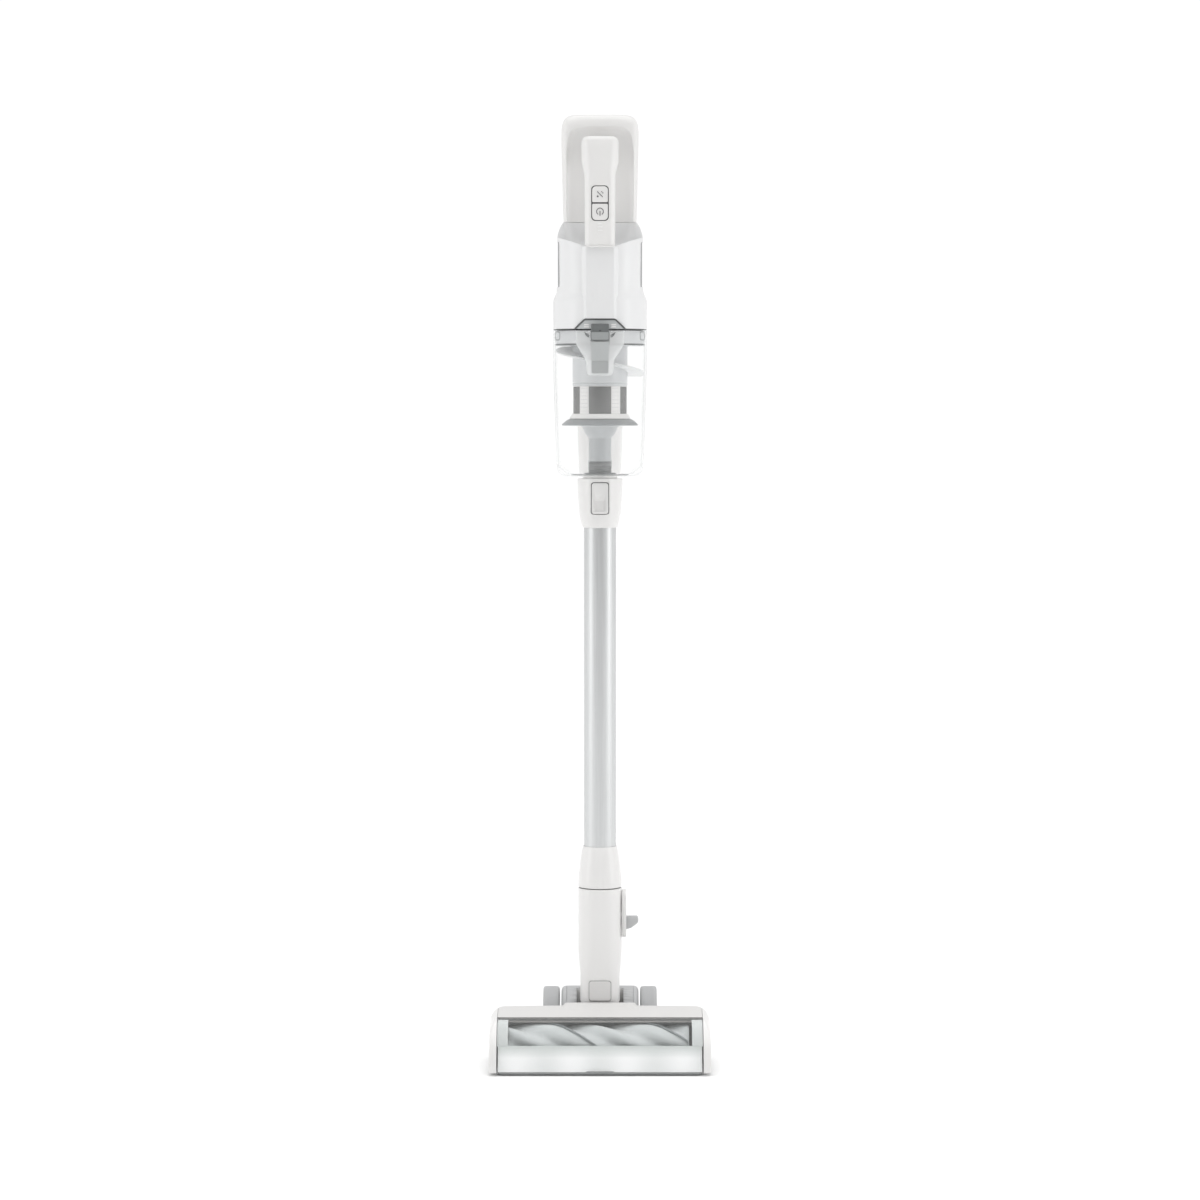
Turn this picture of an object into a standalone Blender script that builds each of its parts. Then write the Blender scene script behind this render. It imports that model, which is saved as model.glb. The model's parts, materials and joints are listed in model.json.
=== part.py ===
"""Cordless stick vacuum: floor head, two-axis neck, wand and detachable hand unit with its dust bin.

Metres, +Z up. The wand's axis is the Z axis, and the front of the machine faces -Y.
Each joint has an empty on its axis, and the pieces that it moves are parented to that empty.
"""

import math

import bmesh
import bpy
from mathutils import Matrix, Vector

GAP = 0.0003
ORIGIN_SHIFT = 0.0322

# Floor head
HEAD_HALF = 0.1268
COVER_HALF = 0.1178
HEAD_FRONT = -0.1135
HEAD_REAR = 0.0020
HEAD_FLOOR = 0.0035
SKIN = 0.0022
WINDOW_TOP = (-0.0700, 0.0603)
CREST = (-0.0300, 0.0677)
LIP_TOP = 0.0712
LIP_HALF = 0.0430
ROLL_AXIS = (-0.0735, 0.0290)
ROLL_RADIUS = 0.0232
BRISTLE_RADIUS = 0.0257
PINION_AXIS = (-0.0220, 0.0300)

# Wheels and pitch axis
AXLE = (0.0350, 0.0394)
WHEEL_RADIUS = 0.0394
WHEEL_INNER = 0.0474
WHEEL_OUTER = 0.0667
AXLE_RADIUS = 0.0030
YOKE_HALF = 0.0452
YOKE_RADIUS = 0.0400

# Neck and wand
SWIVEL_Z = 0.0830
NECK_TOP = 0.2014
NECK_RADIUS = 0.0254
TUBE_RADIUS = 0.0186
TUBE_LOW = 0.2155
TUBE_HIGH = 0.6405
COLLAR_TOP = 0.6780

# Hand unit
BIN_Y = -0.0820
BIN_RADIUS = 0.0531
BIN_FOOT_RADIUS = 0.0494
BIN_TOP = 0.8480
BIN_LOW = 0.6945
DOOR_LOW = 0.6825
DOOR_HINGE = (-0.0312, 0.6905)
DUCT_LOW = 0.6845
HOUSING_LOW = 0.8484
HOUSING_TOP = 0.9702
HOUSING_HALF = 0.0487
NOTCH_TOP = 0.8594
HANDLE_HALF = 0.0171
SEAM_Y = -0.1230
BATTERY_TOP = 1.0925
BATTERY_FRONT = -0.0700
BATTERY_SEAM = -0.0600
BATTERY_REAR = -0.0160


# Scene and materials


def clear_scene():
    for obj in list(bpy.data.objects):
        bpy.data.objects.remove(obj, do_unlink=True)


def new_collection(name):
    collection = bpy.data.collections.new(name)
    bpy.context.scene.collection.children.link(collection)
    return collection


def finish_of(name, colour, roughness, metallic=0.0, alpha=1.0):
    material = bpy.data.materials.new(name)
    material.use_nodes = True
    shader = material.node_tree.nodes["Principled BSDF"]
    shader.inputs["Base Color"].default_value = (*colour, 1.0)
    shader.inputs["Roughness"].default_value = roughness
    shader.inputs["Metallic"].default_value = metallic
    shader.inputs["Alpha"].default_value = alpha
    return material


def pivot(name, at):
    """An empty on a joint's axis, which carries the pieces that the joint moves."""
    empty = bpy.data.objects.new(name, None)
    empty.location = at
    empty.empty_display_size = 0.02
    PART.objects.link(empty)
    return empty


def hang(parent, *objects):
    """Parents objects to a pivot and leaves them where they are."""
    bpy.context.view_layer.update()
    for obj in objects:
        obj.parent = parent
        obj.matrix_parent_inverse = parent.matrix_world.inverted()


# Shapes


def add(name, mesh, material, matrix=None):
    mesh.materials.append(material)
    obj = bpy.data.objects.new(name, mesh)
    if matrix is not None:
        obj.matrix_world = matrix
    PART.objects.link(obj)
    return obj


def smooth(obj, angle=40):
    obj.data.shade_smooth()
    obj.data.set_sharp_from_angle(angle=math.radians(angle))


def box(name, low, high, material, radius=0.0, segments=2):
    """A box between two corners, with rounded edges if it has a radius."""
    cube = bmesh.new()
    bmesh.ops.create_cube(cube, size=1.0)
    size = Vector(high) - Vector(low)
    bmesh.ops.scale(cube, vec=size, verts=cube.verts)
    mesh = bpy.data.meshes.new(name)
    cube.to_mesh(mesh)
    cube.free()
    obj = add(name, mesh, material, Matrix.Translation((Vector(low) + Vector(high)) / 2))
    if radius:
        bevel = obj.modifiers.new("rounded edges", "BEVEL")
        bevel.width = radius
        bevel.segments = segments
        smooth(obj, 60)
    return obj


def rod(name, start, end, radius, material, sides=16):
    """A round bar from one point to another."""
    start, end = Vector(start), Vector(end)
    bar = bmesh.new()
    length = (end - start).length
    bmesh.ops.create_cone(
        bar, cap_ends=True, segments=sides, radius1=radius, radius2=radius, depth=length
    )
    mesh = bpy.data.meshes.new(name)
    bar.to_mesh(mesh)
    bar.free()
    turn = Vector((0, 0, 1)).rotation_difference(end - start).to_matrix().to_4x4()
    obj = add(name, mesh, material, Matrix.Translation((start + end) / 2) @ turn)
    smooth(obj)
    return obj


def turned(name, profile, material, at=(0, 0, 0), along="Z", steps=24, ring=False):
    """A profile of (radius, height) turned about its axis. It runs down its outer side."""
    mesh = bpy.data.meshes.new(name)
    points = [(r, 0.0, h) for r, h in profile]
    edges = [(i, i + 1) for i in range(len(points) - 1)]
    if ring:
        edges.append((len(points) - 1, 0))
    mesh.from_pydata(points, edges, [])
    turns = {"Z": Matrix(), "X": Matrix.Rotation(math.pi / 2, 4, "Y")}
    obj = add(name, mesh, material, Matrix.Translation(at) @ turns[along])
    screw = obj.modifiers.new("turned", "SCREW")
    screw.steps = steps
    screw.render_steps = steps
    screw.use_merge_vertices = True
    screw.merge_threshold = 0.00001
    screw.use_smooth_shade = True
    return obj


PLANES = {
    "XY": Matrix(((1, 0, 0), (0, 1, 0), (0, 0, 1))),
    "XZ": Matrix(((1, 0, 0), (0, 0, -1), (0, 1, 0))),
    "YZ": Matrix(((0, 0, 1), (1, 0, 0), (0, 1, 0))),
}
NORMALS = {"XY": Vector((0, 0, 1)), "XZ": Vector((0, 1, 0)), "YZ": Vector((1, 0, 0))}


def plate(name, outline, low, high, plane, material, holes=()):
    """A flat outline in one plane, as thick as the distance from low to high across it."""
    curve = bpy.data.curves.new(name, "CURVE")
    curve.dimensions = "2D"
    curve.fill_mode = "BOTH"
    curve.extrude = (high - low) / 2
    for loop in (outline, *holes):
        spline = curve.splines.new("POLY")
        spline.points.add(len(loop) - 1)
        for point, (u, v) in zip(spline.points, loop):
            point.co = (u, v, 0, 1)
        spline.use_cyclic_u = True
    guide = bpy.data.objects.new(name, curve)
    PART.objects.link(guide)
    place = PLANES[plane].to_4x4()
    place.translation = NORMALS[plane] * (low + high) / 2
    guide.matrix_world = place
    return meshed(guide, material)


def meshed(guide, material):
    """The mesh of a curve object, welded at its caps, in the curve's place."""
    bpy.context.view_layer.update()
    graph = bpy.context.evaluated_depsgraph_get()
    mesh = bpy.data.meshes.new_from_object(guide.evaluated_get(graph))
    welded = bmesh.new()
    welded.from_mesh(mesh)
    bmesh.ops.remove_doubles(welded, verts=welded.verts, dist=0.000001)
    bmesh.ops.recalc_face_normals(welded, faces=welded.faces)
    welded.to_mesh(mesh)
    welded.free()
    name, place = guide.name, guide.matrix_world.copy()
    bpy.data.objects.remove(guide, do_unlink=True)
    mesh.materials.clear()
    obj = add(name, mesh, material, place)
    obj.name = name
    smooth(obj, 30)
    return obj


def oval(height, half_x, half_y, centre_y=0.0, power=2.0, count=24):
    """A ring of points round a superellipse: power 2 is an ellipse, 5 is nearly a rounded box."""
    ring = []
    for i in range(count):
        turn = 2 * math.pi * (i + 0.5) / count
        c, s = math.cos(turn), math.sin(turn)
        x = half_x * math.copysign(abs(c) ** (2 / power), c)
        y = half_y * math.copysign(abs(s) ** (2 / power), s)
        ring.append((x, centre_y + y, height))
    return ring


def loft(name, rings, material, hollow=False):
    """A skin through rings of equal count. Hollow joins the last ring to the first, as a pipe does."""
    skin = bmesh.new()
    loops = [[skin.verts.new(point) for point in ring] for ring in rings]
    pairs = list(zip(loops, loops[1:]))
    if hollow:
        pairs.append((loops[-1], loops[0]))
    for low, high in pairs:
        for i in range(len(low)):
            j = (i + 1) % len(low)
            skin.faces.new((low[i], low[j], high[j], high[i]))
    if not hollow:
        skin.faces.new(loops[0][::-1])
        skin.faces.new(loops[-1])
    bmesh.ops.recalc_face_normals(skin, faces=skin.faces)
    mesh = bpy.data.meshes.new(name)
    skin.to_mesh(mesh)
    skin.free()
    obj = add(name, mesh, material)
    smooth(obj)
    return obj


def boolean(obj, other, operation):
    """Cuts or joins another shape, which moves to the cutters."""
    modifier = obj.modifiers.new(operation.lower(), "BOOLEAN")
    modifier.operation = operation
    modifier.object = other
    if other.name not in CUTTERS.objects:
        PART.objects.unlink(other)
        CUTTERS.objects.link(other)
    other.hide_render = True
    other.display_type = "WIRE"
    return obj


def cut(obj, *others):
    for other in others:
        boolean(obj, other, "DIFFERENCE")
    return obj


def join(obj, *others):
    for other in others:
        boolean(obj, other, "UNION")
    return obj


def arc(centre, radius, start, end, steps):
    """Points on an arc in a plane, from one angle to another, in degrees."""
    points = []
    for i in range(steps + 1):
        turn = math.radians(start + (end - start) * i / steps)
        points.append((centre[0] + radius * math.cos(turn), centre[1] + radius * math.sin(turn)))
    return points


def round_rect(u0, u1, v0, v1, radius, steps=3):
    """A rectangle's outline with round corners."""
    corners = (
        (u1 - radius, v1 - radius, 0),
        (u0 + radius, v1 - radius, 90),
        (u0 + radius, v0 + radius, 180),
        (u1 - radius, v0 + radius, 270),
    )
    outline = []
    for u, v, start in corners:
        outline += arc((u, v), radius, start, start + 90, steps)
    return outline


def inset(points, distance):
    """An open line of points moved sideways, to the left of its direction."""
    moved = []
    for i, (u, v) in enumerate(points):
        before = points[max(i - 1, 0)]
        after = points[min(i + 1, len(points) - 1)]
        along = Vector((after[0] - before[0], after[1] - before[1])).normalized()
        moved.append((u - along.y * distance, v + along.x * distance))
    return moved


def strip(points, thickness):
    """The outline of a skin of one thickness whose outer side follows the points."""
    return points + inset(points, thickness)[::-1]


# Floor head


def cover_line():
    """The head's outer side line (Y, Z), from its rear foot over the crest to the window's top."""
    rear = [(HEAD_REAR, 0.0045), (HEAD_REAR, 0.0200), (0.0005, 0.0380), (-0.0060, 0.0545)]
    return rear + [(-0.0170, 0.0645), CREST, (-0.0500, 0.0652), WINDOW_TOP]


def window_line(start=90.0, end=180.0, steps=12):
    """The window's outer side line (Y, Z), a quarter of an ellipse from its top to its foot."""
    half_y = WINDOW_TOP[0] - HEAD_FRONT
    half_z = WINDOW_TOP[1] - HEAD_FLOOR
    line = []
    for y, z in arc((0, 0), 1.0, start, end, steps):
        line.append((WINDOW_TOP[0] - 0.0004 + half_y * y, HEAD_FLOOR + half_z * z))
    return line


def notch_cutters():
    """The open bay at the rear for the yoke, and the wider one for the wheels."""
    yoke_bay = box("yoke_bay", (-0.0475, -0.0275, -0.01), (0.0475, 0.1, 0.1), STEEL)
    wheel_bay = box("wheel_bay", (-0.0670, -0.0075, -0.01), (0.0670, 0.1, 0.1), STEEL)
    return yoke_bay, wheel_bay


def lip_outline():
    return [
        (-0.0280, 0.0664),
        (-0.0280, 0.0700),
        (-0.0300, LIP_TOP),
        (-0.0340, LIP_TOP - 0.0004),
        (-0.0480, 0.0668),
        (-0.0520, 0.0643),
        (-0.0480, 0.0644),
    ]


def make_cover(bays):
    line = cover_line()
    cover = plate("head_cover", strip(line, SKIN), -COVER_HALF, COVER_HALF, "YZ", WHITE)
    lip = plate("lip", lip_outline(), -LIP_HALF, LIP_HALF, "YZ", WHITE)
    arm_bay = box("arm_bay", (-0.0740, -0.0080, -0.01), (0.0740, 0.1, 0.1), STEEL)
    join(cover, lip)
    return cut(cover, *bays, arm_bay)


def chassis_outline():
    """The lower housing's section: under the cover at its top, round the brush roll at its front."""
    top = inset(cover_line(), SKIN + 0.0005)[:-1]
    front = arc(ROLL_AXIS, 0.0288, 64, -50, 12)
    return top + [(-0.0616, 0.0592)] + front + [(front[-1][0], 0.0046)]


def axle_arm(side):
    low, high = sorted((side * 0.0672, side * 0.0735))
    outline = [(-0.0065, 0.0140)] + arc(AXLE, 0.0090, -100, 100, 8) + [(-0.0065, 0.0560)]
    return plate(f"arm_{'right' if side > 0 else 'left'}", outline, low, high, "YZ", WHITE)


def make_chassis(bays):
    chassis = plate("head_chassis", chassis_outline(), -0.1166, 0.1166, "YZ", PALE_GREY)
    cut(chassis, *bays)
    pan = box("pan", (-0.0455, -0.0300, 0.0047), (0.0455, 0.0520, 0.0060), PALE_GREY)
    join(chassis, pan, axle_arm(-1), axle_arm(1))
    motor_bay = rod(
        "motor_bay", (-0.1180, *PINION_AXIS), (-0.0500, *PINION_AXIS), 0.0134, STEEL, 20
    )
    belt_bay = box("belt_bay", (-0.1180, -0.0680, 0.0160), (-0.1078, -0.0100, 0.0430), STEEL)
    axle_hole = rod("axle_hole", (-0.09, *AXLE), (0.09, *AXLE), 0.0033, STEEL, 20)
    port = rod("suction_port", (0, -0.055, 0.0260), (0, -0.026, 0.0260), 0.0120, STEEL, 24)
    return cut(chassis, motor_bay, belt_bay, axle_hole, port), port


def make_liner(port):
    """The dark liner over the brush roll, whose front edge shows under the window's top."""
    over = arc(ROLL_AXIS, 0.0275, -46, 122, 16)
    under = arc(ROLL_AXIS, 0.0264, 122, -46, 16)
    liner = plate("chamber_liner", over + under, -0.1076, 0.1165, "YZ", DARK_GREY)
    return cut(liner, port)


def make_window():
    return plate("head_window", strip(window_line(), SKIN), -COVER_HALF, COVER_HALF, "YZ", CLEAR)


def make_light_bar():
    """The frosted bar behind the lower window."""
    outer = inset(window_line(147.0, 178.4, 5), SKIN + 0.0004)
    return plate("light_bar", strip(outer, 0.0020), -0.1164, 0.1164, "YZ", FROSTED)


def make_end_cap(side):
    name = "end_cap_right" if side > 0 else "end_cap_left"
    low, high = sorted((side * (COVER_HALF + 0.0004), side * HEAD_HALF))
    outline = cover_line() + window_line()
    cap = plate(name, outline, low, high, "YZ", WHITE)
    bevel = cap.modifiers.new("rounded rim", "BEVEL")
    bevel.width = 0.0022
    bevel.segments = 2
    bevel.limit_method = "ANGLE"
    bevel.angle_limit = math.radians(60)
    return cap


def make_sole_plate():
    """The bottom plate, with the suction opening and a pocket for each front roller."""
    outline = round_rect(-0.1164, 0.1164, -0.1105, -0.0290, 0.006)
    opening = round_rect(-0.1040, 0.1040, -0.0940, -0.0525, 0.004)
    pockets = []
    for side in (-1, 1):
        u0, u1 = sorted((side * 0.0825, side * 0.0975))
        pockets.append([(u0, -0.1070), (u1, -0.1070), (u1, -0.0960), (u0, -0.0960)])
    return plate("sole_plate", outline, 0.0012, 0.0042, "XY", DARK_GREY, (opening, *pockets))


def make_front_roller(side):
    name = "front_roller_right" if side > 0 else "front_roller_left"
    profile = [(0, 0.0065), (0.0042, 0.0065), (0.0050, 0.0057)]
    profile += [(0.0050, -0.0057), (0.0042, -0.0065), (0, -0.0065)]
    roller = turned(name, profile, GREY, (0, 0, 0), "X", 16)
    spin = pivot(f"{name}_spin", (side * 0.0900, -0.1015, 0.0050))
    roller.parent = spin
    return roller


def roll_ring(x, count=16):
    """The brush roll's two-lobed section at one place along it, turned by its helix."""
    start = helix_angle(x)
    ring = []
    for i in range(count):
        turn = 2 * math.pi * i / count
        radius = ROLL_RADIUS - 0.0012 * (1 + math.cos(2 * (turn - start)))
        y = ROLL_AXIS[0] + radius * math.cos(turn)
        z = ROLL_AXIS[1] + radius * math.sin(turn)
        ring.append((x, y, z))
    return ring


def helix_angle(x):
    """The first bristle strip's angle about the roll, at one place along it."""
    return math.pi / 2 + 2 * math.pi * (x + 0.057) / 0.225


def strip_ring(x, start):
    """The four corners of a bristle strip's section."""
    corners = ((0.0213, -0.07), (BRISTLE_RADIUS, -0.05), (BRISTLE_RADIUS, 0.05), (0.0213, 0.07))
    ring = []
    for radius, offset in corners:
        turn = helix_angle(x) + start + offset
        y = ROLL_AXIS[0] + radius * math.cos(turn)
        z = ROLL_AXIS[1] + radius * math.sin(turn)
        ring.append((x, y, z))
    return ring


def stations(start, end, steps):
    return [start + (end - start) * i / steps for i in range(steps + 1)]


def make_brush_roll():
    """The lobed roll, its two bristle strips and its belt pulley."""
    core = loft("brush_core", [roll_ring(x) for x in stations(-0.1060, 0.1020, 13)], FOAM)
    strips = []
    for name, start in (("bristle_strip_a", 0.0), ("bristle_strip_b", math.pi)):
        rings = [strip_ring(x, start) for x in stations(-0.1030, 0.1010, 16)]
        strips.append(loft(name, rings, BRISTLE))
    profile = [(0, -0.1063), (0.0060, -0.1063), (0.0060, -0.1082), (0.0095, -0.1084)]
    profile += [(0.0084, -0.1092), (0.0084, -0.1138), (0.0095, -0.1146), (0, -0.1146)]
    pulley = turned("roll_pulley", profile, DARK_GREY, (0, *ROLL_AXIS), "X", 18)
    spin = pivot("brush_spin", (0, *ROLL_AXIS))
    hang(spin, core, *strips, pulley)


def belt_loop(reach):
    """The outline round both pulleys (Y, Z), a distance out from each pulley's belt radius."""
    big, small = 0.0087 + reach, 0.0049 + reach
    dy = PINION_AXIS[0] - ROLL_AXIS[0]
    dz = PINION_AXIS[1] - ROLL_AXIS[1]
    heading = math.degrees(math.atan2(dz, dy))
    lean = math.degrees(math.acos((big - small) / math.hypot(dy, dz)))
    round_big = arc(ROLL_AXIS, big, heading + lean, heading + 360 - lean, 12)
    round_small = arc(PINION_AXIS, small, heading - lean, heading + lean, 8)
    return round_big + round_small


def make_brush_drive():
    """The brush motor, the pinion on its shaft, and the belt to the roll."""
    motor_profile = [(0.0080, -0.0510), (0.0125, -0.0520), (0.0125, -0.1040), (0.0100, -0.1055)]
    motor_profile += [(0.0026, -0.1055), (0.0026, -0.0900), (0.0, -0.0900)]
    profile = [(0.0, -0.0510)] + motor_profile
    turned("brush_motor", profile, STEEL, (0, *PINION_AXIS), "X", 18)
    pinion_profile = [(0, -0.0905), (0.0020, -0.0905), (0.0020, -0.1082), (0.0056, -0.1084)]
    pinion_profile += [(0.0046, -0.1092), (0.0046, -0.1138), (0.0056, -0.1146), (0, -0.1146)]
    pinion = turned("motor_pinion", pinion_profile, BRASS, (0, *PINION_AXIS), "X", 16)
    hang(pivot("pinion_spin", (0, *PINION_AXIS)), pinion)
    belt = plate("drive_belt", belt_loop(0.0013), -0.1136, -0.1094, "YZ", RUBBER, (belt_loop(0.0),))
    return belt


def make_wheel(side):
    """A tyre on its hub, free on the axle."""
    name = "right" if side > 0 else "left"
    low, high = sorted((side * WHEEL_INNER, side * WHEEL_OUTER))
    edge = WHEEL_RADIUS - 0.0018
    tread = [(edge, high), (WHEEL_RADIUS, high - 0.0018), (WHEEL_RADIUS, low + 0.0018)]
    tread += [(edge, low), (0.0303, low), (0.0303, high)]
    tyre = turned(f"wheel_{name}", tread, GREY, (0, *AXLE), "X", 32, ring=True)
    rim = [(0.0288, high - 0.0004), (0.0300, high - 0.0016), (0.0300, low + 0.0006)]
    rim += [(0.0033, low + 0.0006), (0.0033, high - 0.0004)]
    hub = turned(f"wheel_hub_{name}", rim, WHITE, (0, *AXLE), "X", 20, ring=True)
    hang(pivot(f"wheel_{name}_spin", (0, *AXLE)), tyre, hub)


def make_floor_head():
    bays = notch_cutters()
    _, port = make_chassis(bays)
    make_cover(bays)
    make_liner(port)
    make_window()
    make_light_bar()
    make_sole_plate()
    make_brush_roll()
    make_brush_drive()
    rod("wheel_axle", (-0.0730, *AXLE), (0.0730, *AXLE), AXLE_RADIUS, STEEL, 16)
    for side in (-1, 1):
        make_end_cap(side)
        make_front_roller(side)
        make_wheel(side)


# Neck


def yoke_outline():
    """The drum's section: full radius over its top and front, less below, clear of the floor."""
    return arc(AXLE, YOKE_RADIUS, 50, 200, 12) + arc(AXLE, 0.0325, 200, 410, 12)


def make_yoke():
    """The pitch drum on the axle, cut away in front for the neck, with the swivel's lug."""
    yoke = plate("swivel_yoke", yoke_outline(), -YOKE_HALF, YOKE_HALF, "YZ", GREY)
    bevel = yoke.modifiers.new("chamfered ends", "BEVEL")
    bevel.width = 0.0050
    bevel.segments = 1
    bevel.limit_method = "ANGLE"
    bevel.angle_limit = math.radians(60)
    slot = box("neck_slot", (-0.0340, -0.05, -0.05), (0.0340, 0.0265, 0.15), STEEL)
    lug = box("swivel_lug", (-0.0170, 0.0272, 0.0600), (0.0170, 0.0460, 0.0965), GREY, 0.003)
    bore = rod("yoke_bore", (-0.06, *AXLE), (0.06, *AXLE), 0.0033, STEEL, 20)
    pin_hole = rod("pin_hole", (0, 0.0100, SWIVEL_Z), (0, 0.0455, SWIVEL_Z), 0.0043, STEEL, 20)
    cut(join(cut(yoke, slot), lug), bore, pin_hole)
    pin = rod("swivel_pin", (0, 0.0196, SWIVEL_Z), (0, 0.0450, SWIVEL_Z), 0.0040, STEEL, 16)
    route = ((-0.0258, 0.0262), (-0.0150, 0.0300), (-0.0050, 0.0410), (-0.0005, 0.0560), (0, 0.0720))
    hose = tube("suction_hose", [(0, y, z) for y, z in route], 0.0115, RUBBER, 2)
    hang(pivot("head_pitch", (0, *AXLE)), yoke, pin, hose)
    return pin_hole


def tube(name, route, radius, material, resolution=3):
    """A round bar along a smooth line through the route's points."""
    curve = bpy.data.curves.new(name, "CURVE")
    curve.dimensions = "3D"
    curve.bevel_depth = radius
    curve.bevel_resolution = resolution
    curve.use_fill_caps = True
    curve.resolution_u = 3
    spline = curve.splines.new("BEZIER")
    spline.bezier_points.add(len(route) - 1)
    for point, at in zip(spline.bezier_points, route):
        point.co = at
        point.handle_left_type = "AUTO"
        point.handle_right_type = "AUTO"
    obj = bpy.data.objects.new(name, curve)
    curve.materials.append(material)
    PART.objects.link(obj)
    return obj


def neck_rings():
    outer = [
        oval(NECK_TOP, NECK_RADIUS, NECK_RADIUS),
        oval(0.1300, NECK_RADIUS, NECK_RADIUS),
        oval(0.1120, 0.0243, 0.0247, 0, 2.4),
        oval(0.0980, 0.0232, 0.0240, 0, 3.0),
        oval(0.0610, 0.0230, 0.0238, 0, 3.2),
        oval(0.0570, 0.0212, 0.0220, 0, 3.0),
    ]
    inner = [
        oval(0.0570, 0.0185, 0.0190, 0, 2.6),
        oval(0.1000, 0.0190, 0.0190, 0, 2.2),
        oval(0.1500, 0.0190, 0.0190),
        oval(0.1560, 0.0207, 0.0207),
        oval(NECK_TOP, 0.0207, 0.0207),
    ]
    return outer + inner


def pedal_case_outline():
    """The pedal housing's side line (Y, Z): a round top and a slanted foot."""
    return [(-0.0095, 0.1440)] + [(0.0095, 0.1440)] + arc((0, 0.1895), 0.0095, 0, 180, 8)


def lever_outline():
    """The pedal's front line (X, Z): a flat top, a round end and a slanted underside."""
    return [
        (0.0285, 0.1520),
        (0.0362, 0.1540),
        (0.0436, 0.1596),
        (0.0449, 0.1620),
        (0.0445, 0.1662),
        (0.0432, 0.1673),
        (0.0285, 0.1673),
    ]


def make_neck(pin_hole):
    neck = cut(loft("neck_housing", neck_rings(), WHITE, hollow=True), pin_hole)
    panel = plate(
        "pivot_cover",
        round_rect(-0.0128, 0.0128, 0.0713, 0.0947, 0.003),
        -0.0252,
        -0.0240,
        "XZ",
        WHITE,
    )
    case = plate("pedal_housing", pedal_case_outline(), 0.0257, 0.0307, "YZ", WHITE)
    window = box("pedal_window", (0.02, -0.0062, 0.1465), (0.04, 0.0062, 0.1715), STEEL)
    cut(case, window)
    swivel = pivot("neck_swivel", (0, 0, SWIVEL_Z))
    hang(swivel, neck, panel, case)
    lever = plate("release_pedal", lever_outline(), -0.0056, 0.0056, "XZ", GREY)
    hang(pivot("pedal_press", (0.0290, 0, 0.1630)), lever)


# Wand


def make_wand():
    """The tube between its two collars. The lower one has a spigot that stands in the neck."""
    pipe = [(TUBE_RADIUS, TUBE_HIGH), (TUBE_RADIUS, TUBE_LOW), (0.0172, TUBE_LOW), (0.0172, TUBE_HIGH)]
    wand_tube = turned("wand_tube", pipe, SILVER, ring=True)
    lower = [
        (0.0195, 0.2500),
        (0.0203, 0.2470),
        (0.0222, 0.2377),
        (0.0233, 0.2283),
        (0.0251, 0.2119),
        (0.0253, 0.2017),
        (0.0202, 0.2017),
        (0.0202, 0.1610),
        (0.0170, 0.1610),
        (0.0170, 0.2150),
        (0.0189, 0.2150),
        (0.0189, 0.2500),
    ]
    lower_collar = turned("lower_collar", lower, WHITE, ring=True)
    upper = [
        (0.0263, COLLAR_TOP),
        (0.0252, 0.6530),
        (0.0238, 0.6367),
        (0.0227, 0.6298),
        (0.0207, 0.6228),
        (0.0192, 0.6212),
        (0.0189, 0.6212),
        (0.0189, 0.6410),
        (0.0205, 0.6440),
        (0.0205, COLLAR_TOP),
    ]
    upper_collar = turned("upper_collar", upper, WHITE, ring=True)
    pocket = box("button_pocket", (-0.0101, -0.04, 0.6371), (0.0101, -0.0216, 0.6737), STEEL, 0.0014)
    cut(upper_collar, pocket)
    hang(pivot("wand_lift", (0, 0, NECK_TOP)), wand_tube, lower_collar, upper_collar)
    button = box("wand_button", (-0.0097, -0.0276, 0.6375), (0.0097, -0.0242, 0.6733), WHITE, 0.0012)
    hang(pivot("wand_button_press", (0, -0.0276, 0.6554)), button)


# Dust bin


def bin_outer():
    """The bin's outer solid, before its inside is cut out."""
    return [
        (0, BIN_TOP),
        (BIN_RADIUS, BIN_TOP),
        (BIN_RADIUS, 0.8000),
        (0.0500, 0.7050),
        (BIN_FOOT_RADIUS, BIN_LOW),
        (0, BIN_LOW),
    ]


def boss_outline():
    """The latch boss's front line (X, Z)."""
    right = [(0.0269, 0.8460), (0.0269, 0.8300), (0.0157, 0.8120), (0.0152, 0.7990), (0.0125, 0.7962)]
    left = [(-x, z) for x, z in right[::-1]]
    return right + left


def ear_outline():
    """A hinge ear's side line (Y, Z): it hangs from the bin's wall, behind the door's rim."""
    foot = [(-0.0322, 0.6950), (-0.0322, 0.6885), (-0.0292, 0.6885)]
    return foot + [(-0.0292, 0.7000), (-0.0350, 0.7000), (-0.0350, 0.6950)]


def make_bin():
    """The clear bin with its latch boss, inlet port and hinge ears."""
    dust_bin = turned("dust_bin", bin_outer(), CLEAR, (0, BIN_Y, 0), steps=36)
    boss = plate("latch_boss", boss_outline(), -0.1376, -0.1260, "XZ", CLEAR)
    ears = []
    for name, side in (("ear_left", -1), ("ear_right", 1)):
        x0, x1 = sorted((side * 0.0084, side * 0.0136))
        ears.append(plate(name, ear_outline(), x0, x1, "YZ", CLEAR))
    hollow = [(0, 0.8600), (0.0511, 0.8600), (0.0511, 0.8000), (0.0480, 0.7050)]
    hollow += [(0.0474, 0.6800), (0, 0.6800)]
    inside = turned("bin_inside", hollow, STEEL, (0, BIN_Y, 0), steps=36)
    port = box("inlet_port", (-0.0120, -0.0400, 0.8060), (0.0120, -0.0200, 0.8270), STEEL)
    pocket = box("latch_pocket", (-0.0106, -0.15, 0.8346), (0.0106, -0.1334, 0.87), STEEL)
    cut(join(dust_bin, boss, *ears), inside, port, pocket)
    latch = box("bin_latch", (-0.0101, -0.1388, 0.8356), (0.0101, -0.1360, 0.8540), MID_GREY, 0.0010)
    return dust_bin, latch


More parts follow.
